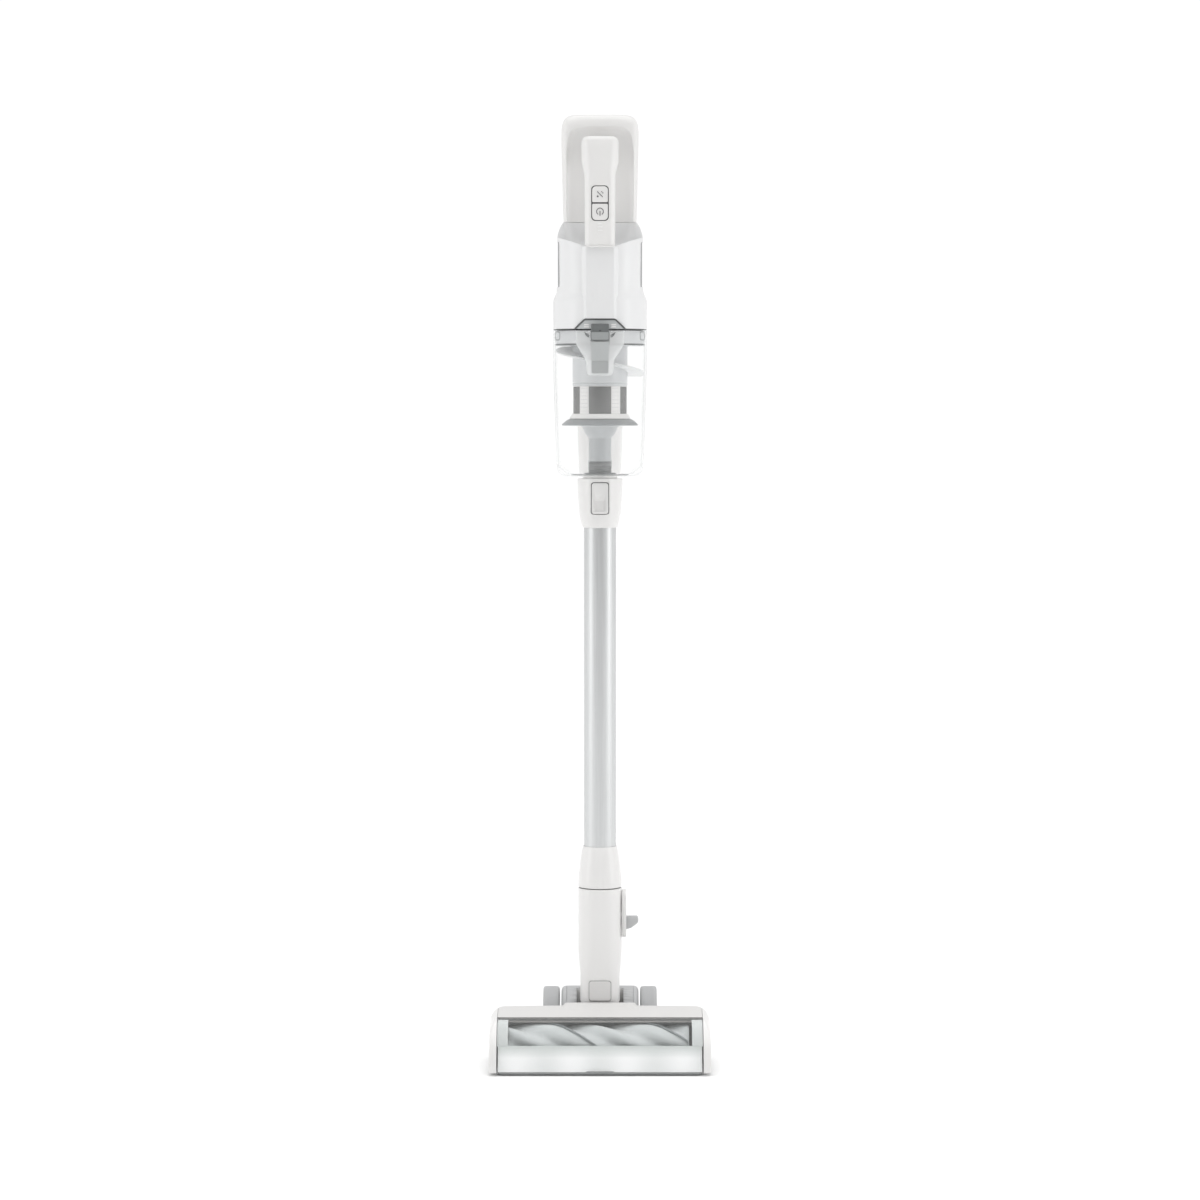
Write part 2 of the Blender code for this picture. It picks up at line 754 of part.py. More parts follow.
def door_profile():
    """The dished door's section, from its inner middle out over the rim to its outer middle."""
    rim = [(0, 0.6850), (0.0375, 0.6850), (0.0472, 0.6925), (0.0474, 0.6940), (0.0492, 0.6940)]
    corner = arc((0.0386, 0.6931), 0.0106, 0, -90, 4)
    return rim + corner + [(0, DOOR_LOW)]


def make_bin_door():
    door = turned("bin_door", door_profile(), CLEAR, (0, BIN_Y, 0), steps=36)
    barrel = rod(
        "door_barrel", (-0.0080, *DOOR_HINGE), (0.0080, *DOOR_HINGE), 0.0022, CLEAR, 16
    )
    arm = box("door_arm", (-0.0075, -0.0360, 0.6884), (0.0075, -0.0312, 0.6912), CLEAR)
    join(door, barrel, arm)
    return door


def ramp_ring(turn, inner=0.0318, outer=0.0506):
    """The ramp's section at one angle: it drops 50 mm a turn."""
    height = 0.8254 - 0.050 * (math.degrees(turn) - 180) / 360
    ring = []
    for radius, drop in ((inner, 0), (outer, 0), (outer, 1), (inner, 1)):
        x = radius * math.cos(turn)
        y = BIN_Y + radius * math.sin(turn)
        ring.append((x, y, height - 0.0020 * drop))
    return ring


def make_cyclone():
    """The separator inside the bin, from its lid down to the dust outlet's boot."""
    lid = [
        (0.0504, 0.8470),
        (0.0504, 0.8300),
        (0.0312, 0.8296),
        (0.0312, 0.7845),
        (0.0294, 0.7845),
        (0.0294, 0.8318),
        (0.0488, 0.8324),
        (0.0488, 0.8470),
    ]
    cyclone = turned("cyclone_body", lid, WHITE, (0, BIN_Y, 0), ring=True)
    turns = [math.radians(150 + 230 * i / 20) for i in range(21)]
    ramp = loft("helical_ramp", [ramp_ring(turn) for turn in turns], WHITE)
    screen = [(0.0303, 0.7840), (0.0303, 0.7530), (0.0292, 0.7530), (0.0292, 0.7840)]
    mesh_screen = turned("mesh_screen", screen, MESH_STEEL, (0, BIN_Y, 0), ring=True)
    skirt = [
        (0.0307, 0.7526),
        (0.0307, 0.7474),
        (0.0363, 0.7467),
        (0.0432, 0.7412),
        (0.0432, 0.7398),
        (0.0350, 0.7440),
        (0.0290, 0.7450),
        (0.0290, 0.7526),
    ]
    cyclone_skirt = turned("cyclone_skirt", skirt, MID_GREY, (0, BIN_Y, 0), ring=True)
    cone = [
        (0.0286, 0.7500),
        (0.0286, 0.7440),
        (0.0206, 0.7385),
        (0.0126, 0.7257),
        (0.0128, 0.6990),
        (0.0110, 0.6990),
        (0.0108, 0.7257),
        (0.0188, 0.7385),
        (0.0270, 0.7440),
        (0.0270, 0.7500),
    ]
    dust_cone = turned("dust_cone", cone, WHITE, (0, BIN_Y, 0), ring=True)
    sleeve = [(0.0126, 0.6986), (0.0131, 0.6860), (0.0105, 0.6860), (0.0105, 0.6986)]
    boot = turned("rubber_boot", sleeve, DARK_GREY, (0, BIN_Y, 0), steps=24, ring=True)
    pleats = [(0, 0.8455), (0.0474, 0.8455), (0.0480, 0.8448), (0.0480, 0.8334), (0, 0.8334)]
    element = turned("filter_element", pleats, FELT, (0, BIN_Y, 0))
    return cyclone, ramp, mesh_screen, cyclone_skirt, dust_cone, boot, element


def make_dust_bin_group():
    dust_bin, latch = make_bin()
    door = make_bin_door()
    hang(pivot("bin_drop", (0, BIN_Y, BIN_TOP)), dust_bin, *make_cyclone())
    hang(pivot("bin_latch_press", (0, -0.1388, 0.8448)), latch)
    hang(pivot("bin_door_swing", (0, *DOOR_HINGE)), door)


# Hand unit


def make_inlet_duct():
    """The duct behind the bin, with the spigot in the wand's collar and the fairing at its top."""
    outer = [
        oval(0.6480, 0.0200, 0.0200),
        oval(DUCT_LOW, 0.0200, 0.0200),
        oval(DUCT_LOW, 0.0239, 0.0239),
        oval(0.7340, 0.0259, 0.0259),
        oval(0.8400, 0.0259, 0.0259),
        oval(0.8700, 0.0259, 0.0215, -0.0040, 2.4),
        oval(0.9100, 0.0262, 0.0110, -0.0190, 3.0),
        oval(0.9400, 0.0262, 0.0070, -0.0225, 3.2),
        oval(0.9440, 0.0240, 0.0050, -0.0225, 3.0),
    ]
    inner = [
        oval(0.8300, 0.0120, 0.0120),
        oval(0.8240, 0.0180, 0.0180),
        oval(0.6480, 0.0180, 0.0180),
    ]
    duct = loft("inlet_duct", outer, WHITE)
    bore = loft("duct_bore", inner[:2] + [oval(0.6300, 0.0180, 0.0180)], STEEL)
    port = box("duct_port", (-0.0112, -0.0400, 0.8070), (0.0112, -0.0050, 0.8260), STEEL)
    return cut(duct, bore, port)


def housing_rings():
    """The motor housing's outside, from the bin up to the battery."""
    return [
        oval(HOUSING_LOW, BIN_RADIUS, BIN_RADIUS, BIN_Y),
        oval(0.8797, BIN_RADIUS, BIN_RADIUS, BIN_Y),
        oval(0.8920, 0.0492, 0.0495, BIN_Y, 2.1),
        oval(0.9160, HOUSING_HALF, 0.0497, BIN_Y, 2.2),
        oval(0.9520, HOUSING_HALF, 0.0530, -0.0785, 2.5),
        oval(0.9640, 0.0455, 0.0560, -0.0740, 3.0),
        oval(HOUSING_TOP, 0.0419, 0.0540, -0.0720, 3.4),
    ]


def notch_outline():
    """The notch over the bin latch (X, Z)."""
    return [
        (-0.0285, 0.8400),
        (0.0285, 0.8400),
        (0.0285, 0.8484),
        (0.0170, NOTCH_TOP),
        (-0.0170, NOTCH_TOP),
        (-0.0285, 0.8484),
    ]


def grille_window(side):
    x0, x1 = sorted((side * 0.0440, side * 0.0560))
    name = "grille_window_right" if side > 0 else "grille_window_left"
    return box(name, (x0, -0.1012, 0.8963), (x1, -0.0628, 0.9467), STEEL)


def make_grille(side):
    """An exhaust grille with eight slots, set in the housing's side."""
    name = "exhaust_grille_right" if side > 0 else "exhaust_grille_left"
    low, high = sorted((side * 0.0452, side * 0.0476))
    slots = []
    for i in range(8):
        z = 0.9010 + 0.0056 * i
        slots.append([(-0.0975, z), (-0.0665, z), (-0.0665, z + 0.0026), (-0.0975, z + 0.0026)])
    outline = round_rect(-0.1008, -0.0632, 0.8967, 0.9463, 0.002, 2)
    return plate(name, outline, low, high, "YZ", MID_GREY, slots)


def make_motor_housing():
    housing = loft("motor_housing", housing_rings(), WHITE)
    ridge = box("front_ridge", (-0.0165, -0.1340, 0.8590), (0.0165, -0.1180, 0.9402), WHITE, 0.0020)
    inside = loft(
        "motor_bay_inside",
        [
            oval(0.8300, 0.0505, 0.0505, BIN_Y),
            oval(0.8790, 0.0505, 0.0505, BIN_Y),
            oval(0.8930, 0.0462, 0.0465, BIN_Y),
            oval(0.9385, 0.0450, 0.0450, BIN_Y),
        ],
        STEEL,
    )
    notch = plate("latch_notch", notch_outline(), -0.15, -0.1150, "XZ", STEEL)
    shelf = box("finger_shelf", (-0.06, -0.15, 0.9515), (0.06, BATTERY_FRONT - GAP, 0.99), STEEL)
    seat = box("handle_seat", (-0.0176, -0.16, 0.9406), (0.0176, -0.1057, 0.985), STEEL)
    duct_room = loft(
        "duct_room",
        [
            oval(0.8300, 0.0264, 0.0264),
            oval(0.8400, 0.0264, 0.0264),
            oval(0.8700, 0.0264, 0.0220, -0.0040, 2.4),
            oval(0.9100, 0.0267, 0.0115, -0.0190, 3.0),
            oval(0.9400, 0.0267, 0.0075, -0.0225, 3.2),
            oval(0.9446, 0.0245, 0.0055, -0.0225, 3.0),
        ],
        STEEL,
    )
    join(cut(housing, seat, shelf), ridge)
    return cut(housing, inside, notch, duct_room, grille_window(-1), grille_window(1))


def make_motor():
    """The suction motor, its shaft and impeller, and the exhaust filter round it."""
    can = [
        (0.0290, 0.9260),
        (0.0300, 0.9250),
        (0.0300, 0.8700),
        (0.0290, 0.8690),
        (0.0040, 0.8690),
        (0.0040, 0.9260),
    ]
    motor = turned("suction_motor", can, STEEL, (0, BIN_Y, 0), ring=True)
    shaft = rod("motor_shaft", (0, BIN_Y, 0.8500), (0, BIN_Y, 0.9320), 0.0034, STEEL, 12)
    sock = [(0.0435, 0.9370), (0.0435, 0.8970), (0.0325, 0.8970), (0.0325, 0.9370)]
    exhaust = turned("exhaust_filter", sock, FELT, (0, BIN_Y, 0), ring=True)
    blades = []
    for blade in range(9):
        start = 360 * blade / 9
        blades += arc((0, BIN_Y), 0.0105, start + 7, start + 33, 2)
        blades += arc((0, BIN_Y), 0.0270, start + 58, start + 62, 1)
    impeller = plate("impeller", blades, 0.8545, 0.8640, "XY", MID_GREY)
    join(impeller, shaft)
    hang(pivot("fan_spin", (0, BIN_Y, 0.8600)), impeller)
    return motor, exhaust


def handle_rings():
    """The grip's outside, leaning back a little into its head."""
    return [
        oval(0.9410, HANDLE_HALF, 0.0150, -0.1215, 3.0),
        oval(0.9700, HANDLE_HALF, 0.0150, -0.1220, 3.0),
        oval(1.0080, HANDLE_HALF, 0.0150, -0.1220, 2.8),
        oval(1.0230, 0.0176, 0.0155, -0.1205, 2.6),
        oval(1.0330, 0.0208, 0.0190, -0.1155, 3.0),
        oval(1.0560, 0.0209, 0.0200, -0.1120, 3.4),
        oval(1.0634, 0.0170, 0.0170, -0.1110, 3.0),
    ]


def make_handle():
    """The handle's two shells with their seam in a plane, and what is set in the front one."""
    front = loft("handle_front", handle_rings(), WHITE)
    rear = loft("handle_rear", handle_rings(), WHITE)
    bridge = box("bridge", (-0.0200, -0.1150, 1.0330), (0.0200, BATTERY_FRONT - GAP, 1.0620), WHITE, 0.004)
    behind = box("behind_seam", (-0.05, SEAM_Y - GAP, 0.90), (0.05, -0.02, 1.10), STEEL)
    ahead = box("ahead_of_seam", (-0.05, -0.20, 0.90), (0.05, SEAM_Y, 1.10), STEEL)
    cavity = box("board_cavity", (-0.0110, -0.1326, 0.9480), (0.0110, -0.1100, 1.0160), STEEL)
    window = plate(
        "button_window", round_rect(-0.0095, 0.0095, 0.9690, 1.0077, 0.0045), -0.15, -0.13, "XZ", STEEL
    )
    lens_slot = box("lens_slot", (-0.0031, -0.15, 0.9547), (0.0031, -0.13, 0.9663), STEEL)
    cut(front, behind, cavity, window, lens_slot)
    cut(join(rear, bridge), ahead)
    board = box("control_board", (-0.0098, -0.1314, 0.9500), (0.0098, -0.1300, 1.0140), BOARD)
    lens = box("status_lens", (-0.0028, -0.1373, 0.9550), (0.0028, -0.1335, 0.9660), FROSTED)
    return front, rear, board, lens


def make_handle_buttons():
    """The mode button over the power button, each on its own travel."""
    for name, low, high in (("power_button", 0.9694, 0.9882), ("mode_button", 0.9888, 1.0073)):
        outline = round_rect(-0.0090, 0.0090, low, high, 0.0035)
        button = plate(name, outline, -0.1377, -0.1336, "XZ", WHITE)
        hang(pivot(f"{name}_press", (0, -0.1377, (low + high) / 2)), button)


def battery_rings():
    """The battery block's outside, with its top corners rounded."""
    half_y = (BATTERY_REAR - BATTERY_FRONT) / 2
    middle = (BATTERY_REAR + BATTERY_FRONT) / 2
    return [
        oval(HOUSING_TOP + GAP, 0.0416, half_y, middle, 7.0),
        oval(1.0200, 0.0430, half_y, middle, 7.0),
        oval(1.0750, 0.0440, half_y, middle, 7.0),
        oval(1.0850, 0.0420, half_y - 0.0015, middle, 6.0),
        oval(1.0905, 0.0375, half_y - 0.0050, middle, 5.0),
        oval(BATTERY_TOP, 0.0310, half_y - 0.0100, middle, 4.0),
    ]


def make_battery():
    """The fixed front wall of the battery block, and the pack that slides up behind it."""
    wall = loft("battery_housing", battery_rings(), WHITE)
    pack = loft("battery_pack", battery_rings(), WHITE)
    rear_half = box("rear_half", (-0.06, BATTERY_SEAM - GAP, 0.90), (0.06, 0.05, 1.20), STEEL)
    front_half = box("front_half", (-0.06, -0.15, 0.90), (0.06, BATTERY_SEAM, 1.20), STEEL)
    room = box("cell_room", (-0.0385, -0.10, 0.9760), (0.0385, -0.0185, 1.0800), STEEL)
    latch_room = box("latch_room", (-0.0105, -0.0186, 1.0545), (0.0105, 0.01, 1.0655), STEEL)
    cut(wall, rear_half)
    cut(pack, front_half, room, latch_room)
    latch = box("battery_latch", (-0.0100, -0.0181, 1.0550), (0.0100, -0.0150, 1.0650), MID_GREY, 0.0010)
    cells = box("cell_block", (-0.0350, -0.0560, 0.9790), (0.0350, -0.0225, 0.9830), CELLS)
    top = box("cell_top", (-0.0350, -0.0560, 1.0460), (0.0350, -0.0225, 1.0500), CELLS)
    posts = []
    for row, y in enumerate((-0.0490, -0.0300)):
        for column in range(3):
            x = -0.0230 + 0.0230 * column
            name = f"cell_{row}{column}"
            posts.append(rod(name, (x, y, 0.9810), (x, y, 1.0480), 0.0090, CELLS, 12))
    join(cells, top, *posts)
    hang(pivot("battery_slide", (0, -0.038, HOUSING_TOP)), pack, cells)
    hang(pivot("battery_latch_press", (0, -0.0150, 1.0600)), latch)
    return wall


def make_hand_unit():
    fixed = [make_inlet_duct(), make_motor_housing(), make_grille(-1), make_grille(1)]
    fixed += make_motor()
    fixed += make_handle()
    fixed.append(make_battery())
    make_handle_buttons()
    make_dust_bin_group()
    hang(pivot("hand_unit_lift", (0, 0, COLLAR_TOP)), *fixed)

def place_on_origin():
    """Moves the whole machine along Y, so that the origin is under the middle of its bounding box."""
    root = pivot("assembly_origin", (0, 0, 0))
    tops = [obj for obj in bpy.data.objects if obj.parent is None and obj is not root]
    hang(root, *tops)
    root.location.y = ORIGIN_SHIFT



clear_scene()
PART = new_collection("stick_vacuum")
CUTTERS = new_collection("cutters")
WHITE = finish_of("white_plastic", (0.84, 0.83, 0.82), 0.35)
PALE_GREY = finish_of("pale_grey_plastic", (0.62, 0.63, 0.63), 0.45)
GREY = finish_of("grey_plastic", (0.50, 0.51, 0.51), 0.50)
MID_GREY = finish_of("mid_grey_plastic", (0.34, 0.35, 0.35), 0.45)
DARK_GREY = finish_of("dark_grey_plastic", (0.10, 0.105, 0.105), 0.50)
CLEAR = finish_of("clear_plastic", (0.86, 0.90, 0.89), 0.06, alpha=0.25)
FROSTED = finish_of("frosted_plastic", (0.75, 0.80, 0.80), 0.50, alpha=0.8)
SILVER = finish_of("anodised_tube", (0.56, 0.57, 0.59), 0.32, 0.6)
STEEL = finish_of("steel", (0.55, 0.56, 0.57), 0.30, 1.0)
MESH_STEEL = finish_of("steel_mesh", (0.42, 0.42, 0.41), 0.40, 0.9)
BRASS = finish_of("brass", (0.70, 0.55, 0.28), 0.35, 1.0)
RUBBER = finish_of("rubber", (0.05, 0.05, 0.05), 0.75)
FOAM = finish_of("roll_pile", (0.60, 0.63, 0.63), 0.95)
BRISTLE = finish_of("bristle", (0.16, 0.18, 0.19), 0.90)
FELT = finish_of("filter_felt", (0.78, 0.78, 0.76), 0.95)
BOARD = finish_of("circuit_board", (0.05, 0.22, 0.12), 0.50)
CELLS = finish_of("cell_wrap", (0.10, 0.25, 0.42), 0.45)

make_floor_head()
make_neck(make_yoke())
make_wand()
make_hand_unit()

place_on_origin()
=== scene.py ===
"""Cordless stick vacuum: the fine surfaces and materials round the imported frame, and the studio.

Metres, +Z up. Shapes are drawn with the wand's axis at X 0, Y 0, and are then moved to the frame's axis.
"""

import json
import math

import bmesh
import bpy
from mathutils import Matrix, Vector


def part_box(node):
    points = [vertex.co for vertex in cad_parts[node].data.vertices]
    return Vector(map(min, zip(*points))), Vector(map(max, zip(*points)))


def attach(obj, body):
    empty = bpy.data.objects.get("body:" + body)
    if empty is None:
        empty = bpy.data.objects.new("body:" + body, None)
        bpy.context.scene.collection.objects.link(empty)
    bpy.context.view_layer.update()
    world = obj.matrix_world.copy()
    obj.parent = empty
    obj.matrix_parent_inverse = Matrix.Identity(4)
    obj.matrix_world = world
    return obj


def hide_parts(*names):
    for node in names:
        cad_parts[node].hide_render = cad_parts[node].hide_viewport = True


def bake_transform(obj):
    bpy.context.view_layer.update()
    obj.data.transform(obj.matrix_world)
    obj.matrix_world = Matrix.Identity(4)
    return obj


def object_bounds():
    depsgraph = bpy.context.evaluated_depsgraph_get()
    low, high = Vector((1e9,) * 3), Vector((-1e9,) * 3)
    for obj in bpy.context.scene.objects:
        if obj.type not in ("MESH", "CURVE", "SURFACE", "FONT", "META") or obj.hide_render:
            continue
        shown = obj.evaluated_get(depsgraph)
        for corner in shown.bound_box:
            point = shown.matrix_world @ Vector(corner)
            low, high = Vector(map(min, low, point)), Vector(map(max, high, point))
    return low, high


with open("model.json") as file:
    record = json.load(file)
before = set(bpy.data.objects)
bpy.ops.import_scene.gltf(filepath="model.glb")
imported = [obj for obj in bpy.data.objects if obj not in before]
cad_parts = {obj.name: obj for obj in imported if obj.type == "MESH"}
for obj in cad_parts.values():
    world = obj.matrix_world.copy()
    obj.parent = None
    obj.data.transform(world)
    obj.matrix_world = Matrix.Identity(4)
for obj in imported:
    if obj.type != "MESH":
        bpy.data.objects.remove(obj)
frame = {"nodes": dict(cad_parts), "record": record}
CAD_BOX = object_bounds()
BEHAVIOUR = frame["record"]["behaviour"]
BODY_OF = {node: body for body, nodes in BEHAVIOUR["bodies"].items() for node in nodes}
SLOT_OF = {part["node"]: part["material_slot"] for part in frame["record"]["subparts"]}
TUBE_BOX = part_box("wand_tube")
SHIFT = (TUBE_BOX[0][1] + TUBE_BOX[1][1]) / 2
TO_FRAME = Matrix.Translation((0, SHIFT, 0))

AXLE = (0.0350, 0.0394)
ROLL_AXIS = (-0.0735, 0.0290)
BIN_Y = -0.0820
HEAD_HALF = 0.1268
COVER_HALF = 0.1178
BORE = 0.0033
PIN_Z = 0.0830
MARK_Y = -0.1377
SIDES = {-1: "left", 1: "right"}


# Materials


def nodes_of(name):
    material = bpy.data.materials.new(name)
    material.use_nodes = True
    tree = material.node_tree
    return material, tree, tree.nodes["Principled BSDF"]


def feed(tree, node, values):
    """Sets a node's inputs, each to a value or to another node's output."""
    for name, value in values.items():
        if isinstance(value, bpy.types.NodeSocket):
            tree.links.new(value, node.inputs[name])
        else:
            node.inputs[name].default_value = value
    return node


def added(tree, kind, values):
    return feed(tree, tree.nodes.new("ShaderNode" + kind), values)


def noise(tree, scale, detail=3.0, roughness=0.5, stretch=None):
    """Noise in object space, drawn out along an axis if it has a stretch."""
    source = added(tree, "TexCoord", {}).outputs["Object"]
    if stretch:
        source = added(tree, "Mapping", {"Scale": stretch, "Vector": source}).outputs["Vector"]
    values = {"Scale": scale, "Detail": detail, "Roughness": roughness, "Vector": source}
    return added(tree, "TexNoise", values).outputs["Fac"]


def ranged(tree, value, low, high):
    values = {"From Min": 0.25, "From Max": 0.75, "To Min": low, "To Max": high, "Value": value}
    return added(tree, "MapRange", values).outputs["Result"]


def shades(tree, value, dark, light, start=0.30, end=0.70):
    ramp = added(tree, "ValToRGB", {"Fac": value})
    for element, at, colour in zip(ramp.color_ramp.elements, (start, end), (dark, light)):
        element.position = at
        element.color = (*colour, 1)
    return ramp.outputs["Color"]


def relief(tree, shader, value, strength, distance):
    bump = added(tree, "Bump", {"Strength": strength, "Distance": distance, "Height": value})
    feed(tree, shader, {"Normal": bump.outputs["Normal"]})


def arithmetic(tree, operation, *values):
    maths = added(tree, "Math", dict(enumerate(values)))
    maths.operation = operation
    return maths.outputs["Value"]


def darker(colour, share):
    return tuple(c * share for c in colour)


def lighter(colour, share):
    return tuple(min(c * share, 1) for c in colour)


def plastic(name, colour, rough, grain=0.10, spread=0.02, coat=0.0):
    """Moulded plastic: slow shade drift, mottled gloss and a fine moulded grain."""
    material, tree, shader = nodes_of(name)
    drift = shades(tree, noise(tree, 14, 4), darker(colour, 1 - spread), lighter(colour, 1 + spread))
    gloss = ranged(tree, noise(tree, 60, 5), rough * 0.97, rough * 1.04)
    feed(tree, shader, {"Base Color": drift, "Roughness": gloss})
    feed(tree, shader, {"Coat Weight": coat, "Coat Roughness": 0.12})
    relief(tree, shader, noise(tree, 2600, 2), grain, 0.00004)
    return material


def clear(name, colour, face, edge, rough=0.05, start=0.05):
    """Clear moulding: nearly open face on, and denser towards its edges."""
    material, tree, shader = nodes_of(name)
    drift = shades(tree, noise(tree, 9, 2), colour, lighter(colour, 1.03))
    gloss = ranged(tree, noise(tree, 40, 3), rough, rough * 1.8)
    facing = added(tree, "LayerWeight", {"Blend": 0.35}).outputs["Facing"]
    alpha = shades(tree, facing, (face, face, face), (edge, edge, edge), start, 0.98)
    feed(tree, shader, {"Base Color": drift, "Roughness": gloss, "Alpha": alpha})
    relief(tree, shader, noise(tree, 30, 2), 0.05, 0.0003)
    material.surface_render_method = "DITHERED"
    return material


def metal(name, colour, rough, stretch=(1, 1, 0.02), scale=900, metallic=1.0):
    """Metal with fine lines drawn along one axis."""
    material, tree, shader = nodes_of(name)
    lines = noise(tree, scale, 4, 0.6, stretch)
    drift = shades(tree, lines, darker(colour, 0.95), lighter(colour, 1.05))
    gloss = ranged(tree, lines, rough * 0.85, rough * 1.2)
    feed(tree, shader, {"Metallic": metallic, "Base Color": drift, "Roughness": gloss})
    relief(tree, shader, lines, 0.08, 0.00005)
    return material


def screen_metal(name, colour):
    """A fine woven screen: two crossed rows of wires in its relief, with dark gaps between them."""
    material, tree, shader = nodes_of(name)
    place = added(tree, "TexCoord", {}).outputs["Object"]
    waves = []
    for axis, scale in (("X", 260), ("Z", 330)):
        wave = added(tree, "TexWave", {"Scale": scale, "Vector": place})
        wave.bands_direction = axis
        waves.append(wave.outputs["Fac"])
    wires = arithmetic(tree, "MULTIPLY", *waves)
    drift = shades(tree, wires, darker(colour, 0.45), colour)
    gloss = ranged(tree, noise(tree, 200, 3), 0.32, 0.5)
    feed(tree, shader, {"Metallic": 0.95, "Base Color": drift, "Roughness": gloss})
    relief(tree, shader, wires, 0.5, 0.0002)
    return material


def fibre(name, dark, light, scale=700, depth=0.0006):
    """Short pile or felt: clumped fibres with a deep, soft relief."""
    material, tree, shader = nodes_of(name)
    strands = noise(tree, scale, 6, 0.7)
    drift = shades(tree, strands, dark, light)
    gloss = ranged(tree, noise(tree, 120, 3), 0.82, 1.0)
    feed(tree, shader, {"Base Color": drift, "Roughness": gloss, "Sheen Weight": 0.25})
    relief(tree, shader, strands, 0.8, depth)
    return material


def light_bar_material():
    """Frosted bar with painted light: grey at its top, painted bright below, with a painted glow about
    each of four lamps.
    """
    material, tree, shader = nodes_of("frosted_light_bar")
    place = added(tree, "TexCoord", {}).outputs["Object"]
    parts = added(tree, "SeparateXYZ", {"Vector": place}).outputs
    lamp_gap = 0.063
    # Painted glow: brightest about each lamp, one every 63 mm across.
    across = arithmetic(tree, "MULTIPLY", parts["X"], 2 * math.pi / lamp_gap)
    across = arithmetic(tree, "ADD", across, math.pi)
    painted_glow = arithmetic(tree, "MULTIPLY_ADD", arithmetic(tree, "COSINE", across), 0.5, 0.5)
    # Painted light: the bar brightens downwards, from a height of 33 mm to 20 mm.
    height = added(tree, "MapRange", {"From Min": 0.0330, "From Max": 0.0200, "Value": parts["Z"]})
    painted_level = arithmetic(tree, "MULTIPLY_ADD", painted_glow, 0.35, 0.65)
    painted_level = arithmetic(tree, "MULTIPLY", painted_level, height.outputs["Result"])
    colour = shades(tree, painted_level, (0.56, 0.595, 0.58), (0.97, 0.975, 0.975), 0.0, 1.0)
    gloss = ranged(tree, noise(tree, 80, 3), 0.40, 0.55)
    feed(tree, shader, {"Base Color": colour, "Roughness": gloss})
    relief(tree, shader, noise(tree, 1800, 2), 0.10, 0.00005)
    return material


WHITE = plastic("white_satin", (0.80, 0.793, 0.783), 0.30, spread=0.006, coat=0.15)
COOL_WHITE = plastic("cool_white_satin", (0.79, 0.793, 0.795), 0.34, 0.03, spread=0.004, coat=0.05)
BUTTON_WHITE = plastic("button_white", (0.78, 0.775, 0.765), 0.35, spread=0.006)
# Painted shade: the pivot cover's white, darker than the neck's, for the shade on the recessed panel.
SHADED_PANEL_WHITE = plastic("panel_white", (0.68, 0.672, 0.662), 0.35, spread=0.006)
# Same white plastic as the end caps, painted darker: painted shade on the head cover's up-facing top.
SHADED_HEAD_WHITE = plastic("head_white", (0.68, 0.672, 0.662), 0.32, spread=0.006, coat=0.1)
LINE_GREY = plastic("line_grey", (0.30, 0.30, 0.295), 0.50, 0.2)
PALE_GREY = plastic("pale_grey_matte", (0.55, 0.56, 0.56), 0.45, 0.2)
GREY = plastic("grey_matte", (0.50, 0.505, 0.51), 0.48, 0.2)
WHEEL_GREY = plastic("wheel_grey", (0.52, 0.525, 0.53), 0.40, 0.15)
MID_GREY = plastic("mid_grey_matte", (0.28, 0.29, 0.29), 0.42, 0.2)
LATCH_GREY = plastic("latch_grey", (0.15, 0.16, 0.16), 0.40, 0.2)
LATCH_LIGHT = plastic("latch_light_grey", (0.33, 0.345, 0.345), 0.38, 0.2)
SKIRT_GREY = plastic("skirt_grey", (0.33, 0.34, 0.345), 0.35, 0.1)
DARK = plastic("dark_matte", (0.055, 0.057, 0.058), 0.50, 0.3, 0.10)
SLOT_GREY = plastic("slot_grey", (0.16, 0.163, 0.165), 0.55, 0.2, 0.06)
BOOT_GREY = plastic("boot_grey", (0.27, 0.275, 0.275), 0.38, 0.2, 0.06)
# Dark taupe of the chamber liner, also the painted shadow line under the cover's front edge.
LINER_AND_SHADOW = plastic("liner_taupe", (0.17, 0.16, 0.152), 0.55, 0.3, 0.06)
MARK = plastic("mark_grey", (0.12, 0.12, 0.125), 0.45, 0.1, 0.05)
TUBE = metal("anodised_silver", (0.66, 0.67, 0.672), 0.42, (1, 1, 0.015), 700, 0.75)
STEEL = metal("bright_steel", (0.58, 0.59, 0.60), 0.25, (0.02, 1, 1))
BRASS = metal("turned_brass", (0.70, 0.55, 0.28), 0.30, (0.05, 1, 1))
MESH = screen_metal("woven_screen", (0.50, 0.50, 0.495))
RUBBER = plastic("black_rubber", (0.03, 0.03, 0.031), 0.75, 0.5, 0.15)
TYRE = plastic("tyre_grey", (0.46, 0.465, 0.47), 0.60, 0.3, 0.03)
PILE = fibre("soft_pile", (0.50, 0.53, 0.53), (0.66, 0.69, 0.69))
BRISTLE = fibre("stiff_bristle", (0.17, 0.19, 0.195), (0.30, 0.33, 0.335), 1100)
FELT = fibre("white_felt", (0.70, 0.70, 0.68), (0.82, 0.82, 0.80), 500, 0.0004)
BOARD = plastic("solder_mask", (0.03, 0.16, 0.08), 0.40, 0.3, 0.10)
WRAP = plastic("cell_wrap_blue", (0.07, 0.19, 0.36), 0.35, 0.1, 0.05)
CLEAR = clear("clear_bin", (0.86, 0.885, 0.885), 0.02, 0.62, start=0.50)
# Painted highlight: thick clear plastic made whiter and denser, for the bright sides of the latch boss;
# the hinge ears share it.
CLEAR_THICK_HIGHLIGHT = clear("clear_boss", (0.90, 0.915, 0.915), 0.50, 0.90)
WINDOW = clear("clear_window", (0.90, 0.92, 0.915), 0.05, 0.20, start=0.30)
FROST = clear("frosted_side", (0.80, 0.83, 0.825), 0.60, 0.85, 0.35)
